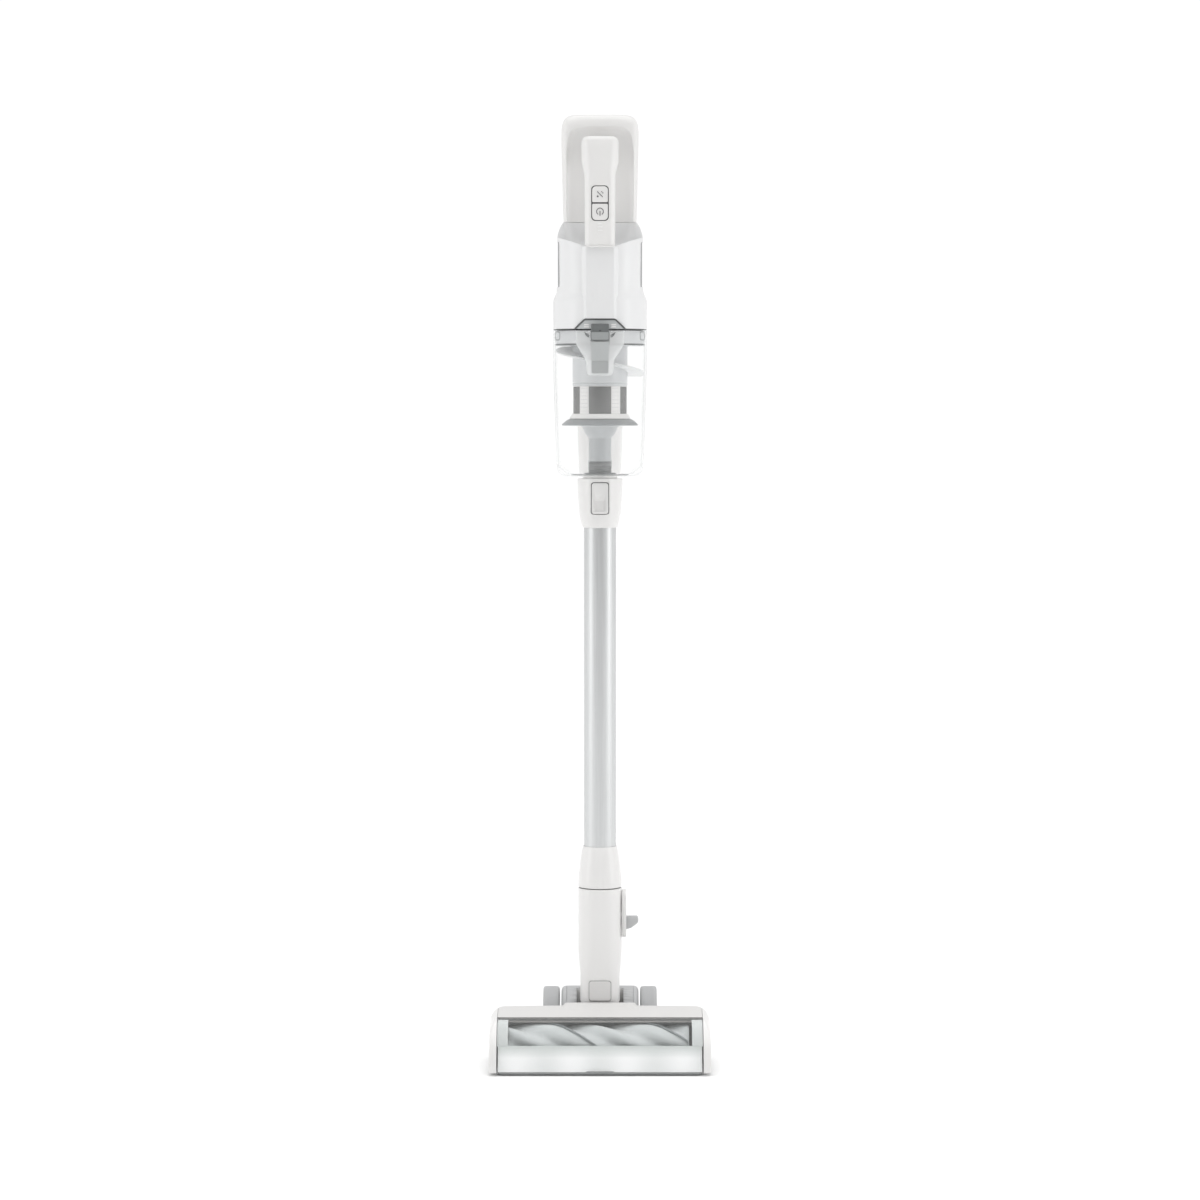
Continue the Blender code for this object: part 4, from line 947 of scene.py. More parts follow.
def make_brush_roll():
    """The soft roll with its spiral valleys, two strips of bristles, and its belt pulley."""
    left, right, length = -0.1060, 0.1020, 0.2080
    rings = []
    for k in range(121):
        x = left + length * k / 120
        ends = min(1.0, min(x - left, right - x) / 0.002 + 0.55)
        ring = []
        for i in range(96):
            turn = 2 * math.pi * i / 96
            first = 0.5 * (1 + math.cos(2 * (turn - helix_angle(x - 0.0230))))
            second = 0.5 * (1 + math.cos(2 * (turn - helix_angle(x - 0.0710))))
            radius = (0.0242 - 0.0068 * first**5 - 0.0062 * second**5) * (0.9 + 0.1 * ends)
            ring.append(on_roll(x, radius, turn))
        rings.append(ring)
    stands_for(skin("brush_core_fine", rings, PILE, 60))
    stands_for(make_bristles("bristle_strip_a_fine", 0.0))
    stands_for(make_bristles("bristle_strip_b_fine", math.pi))
    profile = [(0, -0.1063), (0.0060, -0.1063), (0.0060, -0.1082), (0.0095, -0.1084)]
    profile += [(0.0084, -0.1092), (0.0084, -0.1138), (0.0095, -0.1146), (0, -0.1146)]
    stands_for(lathe("roll_pulley_fine", profile, DARK, (0, *ROLL_AXIS), "X", 64, False, 0.0003))


def make_bristles(name, start):
    """Rows of tufts along the helix, each a flat tapering tuft, on a thin backing."""
    shape = bmesh.new()
    count = 170
    for k in range(count):
        x = -0.1027 + 0.2034 * (k + 0.5) / count
        for row in (-0.035, 0.035):
            lean = helix_angle(x) + start + row
            tuft = [(0.0205, 0.00058), (0.0255, 0.00034)]
            corners = []
            for radius, half in tuft:
                for dx, da in ((-half, -0.022), (half, -0.022), (half, 0.022), (-half, 0.022)):
                    turn = lean + da * (1.3 if radius > 0.023 else 1.0)
                    corners.append(shape.verts.new(on_roll(x + dx, radius, turn)))
            a, b = corners[:4], corners[4:]
            shape.faces.new(a[::-1])
            shape.faces.new(b)
            joined(shape, [a, b])
    backing = []
    for k in range(121):
        x = -0.1030 + 0.2040 * k / 120
        ring = []
        for radius, offset in ((0.0200, -0.09), (0.0216, -0.07), (0.0216, 0.07), (0.0200, 0.09)):
            turn = helix_angle(x) + start + offset
            ring.append(shape.verts.new(on_roll(x, radius, turn)))
        backing.append(ring)
    joined(shape, backing)
    shape.faces.new(backing[0][::-1])
    shape.faces.new(backing[-1])
    return made(shape, name, BRISTLE, 40)


def make_wheels():
    for side, name in SIDES.items():
        low, high = sorted((side * 0.0474, side * 0.0667))
        tread = [(0.0376, high), (0.0394, high - 0.0020), (0.0394, low + 0.0020)]
        tread += [(0.0376, low), (0.0303, low), (0.0303, high)]
        stands_for(on_axle(f"wheel_{name}_fine", tread, TYRE, 128, 0.0036))
        face = high - 0.0004
        dish = high - 0.0030
        rim = [(0.0288, face), (0.0300, high - 0.0016), (0.0300, low + 0.0006), (BORE, low + 0.0006)]
        rim += [(BORE, face), (0.0090, face), (0.0100, dish), (0.0250, dish), (0.0262, face)]
        if side < 0:
            rim = [(r, low + high - h) for r, h in rim][::-1]
        stands_for(on_axle(f"wheel_hub_{name}_fine", rim, WHEEL_GREY, 128, 0.0006))
        half = [(0, 0.0065), (0.0042, 0.0065), (0.0050, 0.0057)]
        roller = [(r, -x) for r, x in half] + half[::-1]
        centre = (side * 0.0900, -0.1015, 0.0050)
        stands_for(lathe(f"front_roller_{name}_fine", roller, GREY, centre, "X", 48, False, 0.0005))
    stands_for(rod("wheel_axle_fine", (-0.0730, *AXLE), (0.0730, *AXLE), 0.0030, STEEL, 48))


def make_head():
    make_chassis()
    make_cover()
    make_window()
    make_end_cap(-1)
    make_end_cap(1)
    make_liner()
    make_light_bar()
    make_sole()
    make_brush_roll()
    make_wheels()


# Dust bin and separator


def make_bin_unit():
    make_bin_shell()
    make_bin_door()
    make_bin_latch()
    make_separator()
    make_cone()
    make_filter()


def make_bin_shell():
    """The clear bin with its inlet port, latch boss, hinge ears and side lugs."""
    wall = [
        (0.0531, 0.8480), (0.0531, 0.8000), (0.0500, 0.7050), (0.0494, 0.6945), (0.0474, 0.6945),
        (0.0480, 0.7050), (0.0511, 0.8000), (0.0511, 0.8480),
    ]
    shell = turned("dust_bin_fine", wall, CLEAR, 160, 0.0007)
    port = block("inlet_port", (-0.0120, -0.0400, 0.8060), (0.0120, -0.0200, 0.8270), CLEAR, 0.0020)
    stands_for(shaped(shell, [port, latch_pocket(0)], edge=0.0003))
    make_boss()
    for side in (-1, 1):
        x0, x1 = sorted((side * 0.0084, side * 0.0136))
        line = [(-0.0322, 0.6950), (-0.0322, 0.6885), (-0.0292, 0.6885)]
        line += [(-0.0292, 0.7000), (-0.0350, 0.7000), (-0.0350, 0.6950)]
        ear = slab(f"hinge_ear_{SIDES[side]}", soften(line, 0.0006), x0, x1, "YZ", CLEAR_THICK_HIGHLIGHT, 0.0004)
        trim(ear, "dust_bin")
        make_side_lug(side)


def latch_pocket(radius):
    return block("latch_pocket", (-0.0106, -0.1500, 0.8346), (0.0106, -0.1334, 0.8700), CLEAR, radius)


def make_boss():
    """The clear boss under the latch: a flat middle facet between two slanting sides."""
    shape = bmesh.new()
    rows = [
        (0.8462, 0.0269, 0.0112, -0.1356, -0.1240), (0.8310, 0.0269, 0.0104, -0.1368, -0.1240),
        (0.8240, 0.0226, 0.0100, -0.1374, -0.1275), (0.8130, 0.0157, 0.0098, -0.1376, -0.1310),
        (0.7990, 0.0148, 0.0092, -0.1374, -0.1310), (0.7962, 0.0125, 0.0080, -0.1362, -0.1320),
    ]
    rings = []
    for height, half, facet, front, rear in rows:
        shoulder = (front + rear * 2) / 3
        right = [(half, rear, height), (half, shoulder, height), (facet, front, height)]
        rings.append(right + [(-x, y, z) for x, y, z in right[::-1]])
    loops = [[shape.verts.new(point) for point in ring] for ring in rings]
    joined(shape, loops)
    shape.faces.new(loops[0])
    shape.faces.new(loops[-1][::-1])
    bmesh.ops.recalc_face_normals(shape, faces=shape.faces)
    bevelled(shape, 0.0009, 3)
    boss = made(shape, "latch_boss", CLEAR_THICK_HIGHLIGHT, 25)
    trim(shaped(boss, [latch_pocket(0.0008)], edge=0.0003), "dust_bin")
    # Painted shade on the middle facet: a grey sheet above, a darker one below.
    upper = plate("boss_facet_upper", 0.0094, 0.8126, 0.8338, 0.0008, -0.1380, -0.1377, FACET_SHADE)
    trim(upper, "dust_bin")
    lower = plate("boss_facet_lower", 0.0094, 0.7985, 0.8124, 0.0012, -0.1380, -0.1377, FACET_DEEP_SHADE)
    trim(lower, "dust_bin")


def make_side_lug(side):
    """A moulded loop on the bin's shoulder, where the bin locks under the housing."""
    line = round_rect(0.0452, 0.0506, 0.8365, 0.8455, 0.0018)
    points = []
    for x, z in line + line[:1]:
        reach = math.sqrt(max(0.0506**2 - x * x, 0.0))
        points.append((side * x, BIN_Y - reach * 0.97, z))
    trim(wire(f"side_lug_{SIDES[side]}", points, 0.0006, LATCH_LIGHT), "dust_bin")


def make_bin_door():
    """The dished bottom door with a rounded rim, its hinge barrel and arm, and two rings on it."""
    rim = [(0, 0.6850), (0.0375, 0.6850), (0.0472, 0.6925), (0.0474, 0.6940), (0.0492, 0.6940)]
    corner = arc((0.0386, 0.6931), 0.0106, 0, -90, 20)
    profile = rim + corner + [(0, 0.6825)]
    door = lathe("bin_door_fine", profile, CLEAR, (0, BIN_Y, 0), "Z", 160, False, 0.0003)
    barrel = rod("barrel", (-0.0080, -0.0312, 0.6905), (0.0080, -0.0312, 0.6905), 0.0022, CLEAR, 40)
    arm = block("arm", (-0.0075, -0.0360, 0.6884), (0.0075, -0.0312, 0.6912), CLEAR, 0.0003, 2)
    stands_for(shaped(door, [barrel, arm], "UNION"))
    ring = turned("door_foot_ring", ring_section(0.0150, 0.0178, 0.6842, 0.6862), SLOT_VEIL, 96, 0.0004)
    trim(ring, "bin_door")
    foot = turned("door_foot_bead", ring_section(0.0284, 0.0326, 0.6836, 0.6844), SLOT_VEIL, 128, 0.0003)
    trim(foot, "bin_door")


def make_bin_latch():
    """The latch tab: a dark upper face with a small arrow, and a lighter pressing face below."""
    latch = plate("bin_latch_fine", 0.0101, 0.8356, 0.8540, 0.0012, -0.1386, -0.1360, LATCH_GREY, 0.0006)
    dish = block("dish", (-0.0085, -0.1400, 0.8455), (0.0085, -0.1380, 0.8532), LATCH_GREY, 0.0006)
    stands_for(shaped(latch, [dish], edge=0.0002))
    press = plate("latch_press_face", 0.0096, 0.8361, 0.8446, 0.0010, -0.1388, -0.1385, LATCH_LIGHT)
    trim(press, "bin_latch")
    arrow = [(-0.0016, 0.8456), (0.0016, 0.8456), (0, 0.8470)]
    trim(slab("latch_arrow", arrow, -0.1384, -0.1379, "XZ", DARK, 0.0001), "bin_latch")
    for side in (-1, 1):
        for row, (z0, z1) in enumerate(((0.8524, 0.8538), (0.8500, 0.8514))):
            x0, x1 = sorted((side * 0.0125, side * 0.0178))
            line = round_rect(x0, x1, z0, z1, 0.0004)
            tab = slab(f"housing_tab_{row}_{side + 2}", line, -0.1352, -0.1346, "XZ", WHITE, 0.0001)
            trim(tab, "motor_housing")
        for k, (reach, z) in enumerate(((0.0158, 0.8440), (0.0140, 0.8420))):
            points = []
            for u, v in arc((0, 0), 1.0, 20, 84, 8):
                points.append((side * (0.0105 + reach * 0.45 * u), -0.1352, z + 0.0030 - 0.0060 * v))
            trim(wire(f"latch_arm_{k}_{side + 2}", points, 0.00045, LATCH_GREY), "dust_bin")


def make_separator():
    """The separator: its lid and seal, the white drum, the screen with its ribs, and the skirt."""
    lid = [
        (0.0504, 0.8470), (0.0504, 0.8300), (0.0330, 0.8297), (0.0312, 0.8280), (0.0312, 0.7890),
        (0.0305, 0.7884), (0.0305, 0.7876), (0.0312, 0.7870), (0.0312, 0.7845), (0.0294, 0.7845),
        (0.0294, 0.8318), (0.0488, 0.8324), (0.0488, 0.8470),
    ]
    stands_for(turned("cyclone_body_fine", lid, SEPARATOR_WHITE, 144, 0.0005))
    seal = [(0.0503, 0.8322), (0.0509, 0.8320), (0.0509, 0.8306), (0.0503, 0.8304)]
    trim(turned("lid_seal", seal, LATCH_GREY, 144, 0.0002), "cyclone_body")
    make_ramp()
    screen = [(0.0303, 0.7840), (0.0303, 0.7530), (0.0292, 0.7530), (0.0292, 0.7840)]
    stands_for(turned("mesh_screen_fine", screen, MESH, 144, 0.0001))
    for k, middle in enumerate((54, 126, 234, 306)):
        outer = arc((0, BIN_Y), 0.0309, middle - 11.5, middle + 11.5, 14)
        inner = arc((0, BIN_Y), 0.0304, middle + 11.5, middle - 11.5, 14)
        rib = slab(f"screen_rib_{k + 1}", outer + inner, 0.7529, 0.7842, "XY", WHITE, 0.0001)
        trim(rib, "mesh_screen")
        for m in range(7):
            z = 0.7562 + 0.0043 * m
            points = [(x, y, z) for x, y in arc((0, BIN_Y), 0.0310, middle - 10, middle + 10, 10)]
            trim(wire(f"screen_rib_{k + 1}_line_{m + 1}", points, 0.00018, RIB_LINE), "mesh_screen")
    skirt = [
        (0.0307, 0.7526), (0.0312, 0.7500), (0.0340, 0.7474), (0.0363, 0.7467), (0.0396, 0.7445),
        (0.0432, 0.7412), (0.0432, 0.7398), (0.0350, 0.7440), (0.0290, 0.7450), (0.0290, 0.7526),
    ]
    stands_for(turned("cyclone_skirt_fine", skirt, SKIRT_GREY, 144, 0.0004))
    foot = [(0.0308, 0.7534), (0.0318, 0.7530), (0.0346, 0.7478), (0.0332, 0.7476), (0.0309, 0.7500)]
    trim(turned("screen_foot_ring", foot, WHITE, 128, 0.0002), "cyclone_skirt")


def in_bin(radius, turn, height):
    return (radius * math.cos(turn), BIN_Y + radius * math.sin(turn), height)


def make_ramp():
    """The spiral vane round the drum."""
    section = [(0.0316, 0.0), (0.0500, 0.0), (0.0505, -0.0004), (0.0505, -0.0016)]
    section += [(0.0500, -0.0020), (0.0316, -0.0020)]
    drop_per_turn = 0.050
    rings = []
    for k in range(93):
        degrees = 150 + 230 * k / 92
        turn = math.radians(degrees)
        height = 0.8254 - drop_per_turn * (degrees - 180) / 360
        rings.append([in_bin(radius, turn, height + drop) for radius, drop in section])
    stands_for(skin("helical_ramp_fine", rings, RAMP_WHITE, 40))


def make_cone():
    """The dust cone, its stem and the ribbed boot at its foot."""
    cone = [
        (0.0286, 0.7500), (0.0286, 0.7440), (0.0206, 0.7385), (0.0165, 0.7300), (0.0128, 0.7257),
        (0.0128, 0.6990), (0.0110, 0.6990), (0.0108, 0.7257), (0.0188, 0.7385), (0.0270, 0.7440),
        (0.0270, 0.7500),
    ]
    stands_for(turned("dust_cone_fine", cone, CONE_GREY, 128, 0.0012))
    outer = [(0.0126, 0.6986)]
    for k in range(3):
        z = 0.6972 - 0.0038 * k
        outer += [(0.0127, z), (0.0131, z - 0.0008), (0.0131, z - 0.0018), (0.0127, z - 0.0026)]
    profile = outer + [(0.0131, 0.6860), (0.0105, 0.6860), (0.0105, 0.6986)]
    stands_for(turned("rubber_boot_fine", profile, BOOT_GREY, 96, 0.0003))


def make_filter():
    """The filter under the housing, with 60 pleats."""
    depth = 0.0016
    rings = []
    for height, scale in ((0.8334, 0.985), (0.8345, 1.0), (0.8445, 1.0), (0.8455, 0.985)):
        ring = []
        for k in range(240):
            turn = 2 * math.pi * k / 240
            radius = 0.0479 * scale - (depth if k % 4 in (2, 3) else 0.0)
            ring.append(in_bin(radius, turn, height))
        rings.append(ring)
    stands_for(skin("filter_element_fine", rings, FELT, 40))


# Hand unit


def make_hand_unit():
    make_duct()
    make_housing()
    for side in (-1, 1):
        make_grille(side)
    make_motor()
    make_handle()
    make_buttons()
    make_battery()


def make_duct():
    """The duct behind the bin, its spigot down into the wand's collar, and the fairing at its top."""
    outer = [
        (0.6480, 0.0196, 0.0196), (0.6490, 0.0200, 0.0200), (0.6840, 0.0200, 0.0200),
        (0.6845, 0.0236, 0.0236), (0.6855, 0.0239, 0.0239), (0.7340, 0.0259, 0.0259),
        (0.8400, 0.0259, 0.0259), (0.8700, 0.0259, 0.0215, -0.0040, 2.4),
        (0.9100, 0.0262, 0.0110, -0.0190, 3.0), (0.9400, 0.0262, 0.0070, -0.0225, 3.2),
        (0.9432, 0.0252, 0.0058, -0.0225, 3.1), (0.9440, 0.0240, 0.0048, -0.0225, 3.0),
    ]
    duct = body_loft("inlet_duct_fine", outer, WHITE, 6, 40)
    inner = [(0.6300, 0.0180, 0.0180), (0.8240, 0.0180, 0.0180), (0.8300, 0.0120, 0.0120)]
    bore = body_loft("bore", inner, WHITE, 4)
    port = block("port", (-0.0112, -0.0400, 0.8070), (0.0112, -0.0050, 0.8260), WHITE, 0.0012)
    stands_for(shaped(duct, [bore, port], edge=0.0003))


def make_housing():
    """The motor housing: front ridge, finger shelf, latch notch and exhaust windows."""
    keys = [
        (0.8488, 0.0528, 0.0528, BIN_Y), (0.8493, 0.0531, 0.0531, BIN_Y),
        (0.8797, 0.0531, 0.0531, BIN_Y), (0.8920, 0.0492, 0.0495, BIN_Y, 2.1),
        (0.9160, 0.0487, 0.0497, BIN_Y, 2.2), (0.9520, 0.0487, 0.0530, -0.0785, 2.5),
        (0.9640, 0.0455, 0.0560, -0.0740, 3.0), (0.9694, 0.0422, 0.0542, -0.0721, 3.4),
        (0.9702, 0.0416, 0.0536, -0.0720, 3.4),
    ]
    housing = body_loft("motor_housing_fine", keys, COOL_WHITE, 8, 32, 144)
    shelf_line = [(-0.0600, 0.9560), (-0.0178, 0.9412), (0.0178, 0.9412), (0.0600, 0.9560)]
    shelf_line += [(0.0600, 1.0), (-0.0600, 1.0)]
    shelf = slab("shelf", shelf_line, -0.1500, -0.0703, "XZ", COOL_WHITE, 0)
    half_ridge = [(0.0158, -0.1345), (0.0204, -0.1292), (0.0204, -0.1180)]
    ridge_line = half_ridge + [(-x, y) for x, y in half_ridge[::-1]]
    ridge = slab("ridge", soften(ridge_line, 0.0012), 0.8590, 0.9402, "XY", COOL_WHITE, 0.0)
    hollow = [(0.8300, 0.0505, 0.0505, BIN_Y), (0.8790, 0.0505, 0.0505, BIN_Y)]
    hollow += [(0.8930, 0.0462, 0.0465, BIN_Y), (0.9385, 0.0450, 0.0450, BIN_Y)]
    inside = body_loft("inside", hollow, COOL_WHITE, 3)
    half_notch = [(0.0291, 0.8400), (0.0291, 0.8490), (0.0174, 0.8600)]
    notch_line = soften([(-0.0291, 0.8400)] + half_notch + [(-0.0174, 0.8600), (-0.0291, 0.8490)], 0.0018)
    notch = slab("notch", notch_line, -0.1500, -0.1150, "XZ", COOL_WHITE, 0)
    room = [
        (0.8300, 0.0264, 0.0264), (0.8400, 0.0264, 0.0264), (0.8700, 0.0264, 0.0220, -0.0040, 2.4),
        (0.9100, 0.0267, 0.0115, -0.0190, 3.0), (0.9400, 0.0267, 0.0075, -0.0225, 3.2),
        (0.9446, 0.0245, 0.0055, -0.0225, 3.0),
    ]
    duct_room = body_loft("duct_room", room, COOL_WHITE, 4)
    windows = []
    for side in (-1, 1):
        x0, x1 = sorted((side * 0.0440, side * 0.0560))
        low, high = (x0, -0.1012, 0.8963), (x1, -0.0628, 0.9467)
        windows.append(block(f"window_{side}", low, high, COOL_WHITE, 0.0012))
    shaped(housing, [shelf])
    shaped(housing, [make_scoop()])
    shaped(housing, [ridge], "UNION")
    shaped(housing, [inside, notch, duct_room, *windows], edge=0.0005, angle=30, harden=False)
    stands_for(housing)
    make_notch_ground()


def make_notch_ground():
    """The dark joint between housing and bin: a gasket ring, and the ground behind the notch."""
    ring = turned("housing_gasket", ring_section(0.0500, 0.0527, 0.8479, 0.8492), GASKET, 160, 0.0002)
    room = block("room", (-0.0288, -0.1500, 0.8400), (0.0288, -0.1200, 0.8600), GASKET, 0)
    shaped(ring, [room])
    trim(ring, "motor_housing")
    outer = [(-0.0290, 0.8486), (-0.0174, 0.8597), (0.0174, 0.8597), (0.0290, 0.8486)]
    inner = [(0.0272, 0.8484), (0.0169, 0.8583), (-0.0169, 0.8583), (-0.0272, 0.8484)]
    line = soften(outer, 0.0016, False) + soften(inner, 0.0014, False)
    trim(slab("notch_gasket", line, -0.1330, -0.1318, "XZ", GASKET, 0.0001), "motor_housing")
    ground_line = [(-0.0270, 0.8484), (-0.0168, 0.8581), (0.0168, 0.8581), (0.0270, 0.8484)]
    ground = slab("notch_ground", soften(ground_line, 0.0012), -0.1326, -0.1316, "XZ", VEIL_GREY, 0.0002)
    trim(ground, "motor_housing")


def make_grille(side):
    """An exhaust grille with eight slots."""
    name = f"exhaust_grille_{SIDES[side]}"
    low, high = sorted((side * 0.0452, side * 0.0476))
    slots = []
    for i in range(8):
        z = 0.9010 + 0.0056 * i
        slots.append(round_rect(-0.0975, -0.0665, z, z + 0.0026, 0.0012))
    outline = round_rect(-0.1008, -0.0632, 0.8967, 0.9463, 0.0020)
    stands_for(slab(name + "_fine", outline, low, high, "YZ", GREY, 0.0004, slots))


def make_motor():
    """The motor can, the pleated exhaust filter round it, and the impeller with its shaft."""
    can = [
        (0.0290, 0.9260), (0.0300, 0.9250), (0.0300, 0.9100), (0.0296, 0.9095), (0.0296, 0.8860),
        (0.0300, 0.8855), (0.0300, 0.8700), (0.0290, 0.8690), (0.0040, 0.8690), (0.0040, 0.9260),
    ]
    stands_for(turned("suction_motor_fine", can, STEEL, 96, 0.0006))
    depth, wall = 0.0022, 0.0085
    sleeve = []
    for height in (0.8970, 0.9370):
        outer, inner = [], []
        for k in range(288):
            turn = 2 * math.pi * k / 288
            radius = 0.0434 - (depth if k % 6 in (3, 4, 5) else 0.0)
            outer.append(in_bin(radius, turn, height))
            inner.append(in_bin(radius - wall, turn, height))
        sleeve.append((outer, inner))
    rings = [sleeve[0][0], sleeve[1][0], sleeve[1][1], sleeve[0][1]]
    stands_for(skin("exhaust_filter_fine", rings, FELT, 40, hollow=True))
    blades = []
    for blade in range(9):
        start = 360 * blade / 9
        blades += arc((0, BIN_Y), 0.0105, start + 7, start + 33, 6)
        blades += arc((0, BIN_Y), 0.0270, start + 58, start + 62, 3)
    impeller = slab("impeller_fine", blades, 0.8545, 0.8640, "XY", MID_GREY, 0.0003)
    shaft = rod("shaft", (0, BIN_Y, 0.8500), (0, BIN_Y, 0.9320), 0.0034, STEEL, 48)
    stands_for(shaped(impeller, [shaft], "UNION"))


def grip_rings():
    """The grip's sections: a flat front facet, round shoulders and a full back."""
    keys = [
        (0.9410, 0.0171, 0.0150, -0.1215, 0.0100), (0.9700, 0.0171, 0.0150, -0.1220, 0.0104),
        (1.0060, 0.0171, 0.0150, -0.1220, 0.0100), (1.0200, 0.0174, 0.0154, -0.1208, 0.0086),
        (1.0300, 0.0195, 0.0176, -0.1178, 0.0074), (1.0370, 0.0208, 0.0192, -0.1150, 0.0074),
        (1.0520, 0.0209, 0.0200, -0.1122, 0.0100), (1.0585, 0.0206, 0.0193, -0.1114, 0.0108),
        (1.0620, 0.0189, 0.0178, -0.1111, 0.0104), (1.0634, 0.0165, 0.0160, -0.1110, 0.0096),
    ]
    return [grip_section(*row) for row in eased(keys, 10)]


def grip_section(height, half_x, half_y, middle, facet):
    """One section: the facet runs straight across the front, then curves round to the sides."""
    right = []
    for k in range(33):
        turn = math.pi / 2 * k / 32
        x = facet + (half_x - facet) * math.sin(turn) ** 0.85
        y = -half_y * math.cos(turn) ** 0.75
        right.append((x, y))
    for k in range(1, 29):
        turn = math.pi / 2 * k / 28
        x = half_x * math.cos(turn) ** (2 / 3.0)
        y = half_y * math.sin(turn) ** (2 / 3.0)
        right.append((x, y))
    front = [(facet * (2 * k / 12 - 1), -half_y) for k in range(1, 12)]
    left = [(-x, y) for x, y in right[::-1]][1:]
    return [(x, middle + y, height) for x, y in front + right + left]


def make_handle():
    """The handle's two shells, the bridge to the battery wall and what is set in the front."""
    front = skin("handle_front_fine", grip_rings(), WHITE, 25)
    rear = skin("handle_rear_fine", grip_rings(), WHITE, 25)
    bridge = block("bridge", (-0.0200, -0.1150, 1.0330), (0.0200, -0.0703, 1.0620), WHITE, 0.0060, 6)
    behind = block("behind", (-0.05, -0.1233, 0.90), (0.05, -0.02, 1.10), WHITE, 0)
    ahead = block("ahead", (-0.05, -0.20, 0.90), (0.05, -0.1230, 1.10), WHITE, 0)
    cavity = block("cavity", (-0.0110, -0.1326, 0.9480), (0.0110, -0.1100, 1.0160), WHITE, 0.0010)
    window = plate("window", 0.0098, 0.9686, 1.0081, 0.0046, -0.15, -0.13, WHITE, 0)
    shaped(front, [behind, cavity, window], edge=0.0003, angle=28)
    shaped(rear, [bridge], "UNION")
    shaped(rear, [ahead], edge=0.0003, angle=28)
    stands_for(front)
    stands_for(rear)
    wells = [button_line(*values, room=0.00005) for values in BUTTONS.values()]
    outline = round_rect(-0.0101, 0.0101, 0.9683, 1.0084, 0.0046)
    ground = slab("button_ground", outline, -0.1338, -0.1330, "XZ", SLOT_GREY, 0.0001, holes=wells)
    trim(ground, "handle_front")
    ledge = plate("handle_foot_ledge", 0.0160, 0.9399, 0.9412, 0.0004, -0.1378, -0.1300, WHITE, 0.0003)
    trim(ledge, "handle_front")
    stands_for(plate("control_board_fine", 0.0098, 0.9500, 1.0140, 0.0010, -0.1314, -0.1300, BOARD))
    stands_for(plate("status_lens_fine", 0.0028, 0.9550, 0.9660, 0.0009, -0.1371, -0.1335, WHITE, 0.0002))
    for k, z in enumerate((0.9580, 0.9618, 0.9652)):
        points = [(0.0026 * (i / 4 - 1), -0.13708, z + 0.0003 * (1 - (i / 4 - 1) ** 2)) for i in range(9)]
        trim(wire(f"status_bar_{k + 1}", points, 0.0003, LAMP), "status_lens")


BUTTONS = {
    "mode_button": (0.9894, 1.0071, 0.0016, 0.0042),
    "power_button": (0.9696, 0.9877, 0.0042, 0.0016),
}


def button_line(low, high, bottom, top, room=0.0):
    """A button's outline between two heights, with its corner radii, or the wider one of its well."""
    return corner_line(-0.0088 - room, 0.0088 + room, low - room, high + room, bottom, top)


def make_buttons():
    """The mode and power buttons, each with its raised mark."""
    for name, values in BUTTONS.items():
        stands_for(slab(name + "_fine", button_line(*values), -0.1376, -0.1336, "XZ", WHITE, 0.0006))
    bar = wire("mode_mark_bar", [(-0.0031, MARK_Y, 1.0013), (0.0031, MARK_Y, 0.9951)], 0.00042, MARK)
    trim(bar, "mode_button")
    dots = ((-0.0026, 0.9958, 0.0010), (0.0020, 1.0010, 0.0006), (0.0032, 0.9996, 0.0006))
    for k, (x, z, size) in enumerate(dots):
        line = arc((x, z), size, 0, 345, 23)
        trim(slab(f"mode_mark_dot_{k + 1}", line, -0.1379, -0.1375, "XZ", MARK, 0.0), "mode_button")
    ring = [(x, MARK_Y, z) for x, z in arc((0, 0.9790), 0.0038, -58, 236, 49)]
    bar = [(0, MARK_Y, 0.9796), (0, MARK_Y, 0.9742)]
    trim(wire("power_mark_ring", ring, 0.00042, MARK), "power_button")
    trim(wire("power_mark_bar", bar, 0.00045, MARK), "power_button")


def battery_keys():
    middle, half = -0.0430, 0.0270
    return [
        (0.9705, 0.0412, half - 0.0004, middle, 7.0), (0.9712, 0.0416, half, middle, 7.0),
        (1.0200, 0.0430, half, middle, 7.0), (1.0700, 0.0440, half, middle, 6.6),
        (1.0800, 0.0433, half - 0.0007, middle, 6.2), (1.0865, 0.0412, half - 0.0024, middle, 5.4),
        (1.0905, 0.0375, half - 0.0050, middle, 4.8), (1.0921, 0.0335, half - 0.0083, middle, 4.3),
        (1.0925, 0.0305, half - 0.0102, middle, 4.0),
    ]


def make_scoop():
    """The soft hollow behind the handle: wide at its mouth, and narrowing as it deepens."""
    keys = [
        (-0.1000, 0.0412, 0.0704, 6.0), (-0.0704, 0.0410, 0.0702, 6.0), (-0.0694, 0.0396, 0.0688, 5.6),
        (-0.0676, 0.0382, 0.0672, 5.2), (-0.0654, 0.0366, 0.0654, 4.6), (-0.0638, 0.0338, 0.0624, 4.2),
        (-0.0630, 0.0290, 0.0570, 4.0), (-0.0627, 0.0200, 0.0460, 4.0),
    ]
    rings = []
    for y, half_x, half_z, power in eased(keys, 4):
        rings.append([(x, y, z) for x, z, _ in oval(0, half_x, half_z, 1.0100, power, 128)])
    return skin("scoop", rings, WHITE, 40)


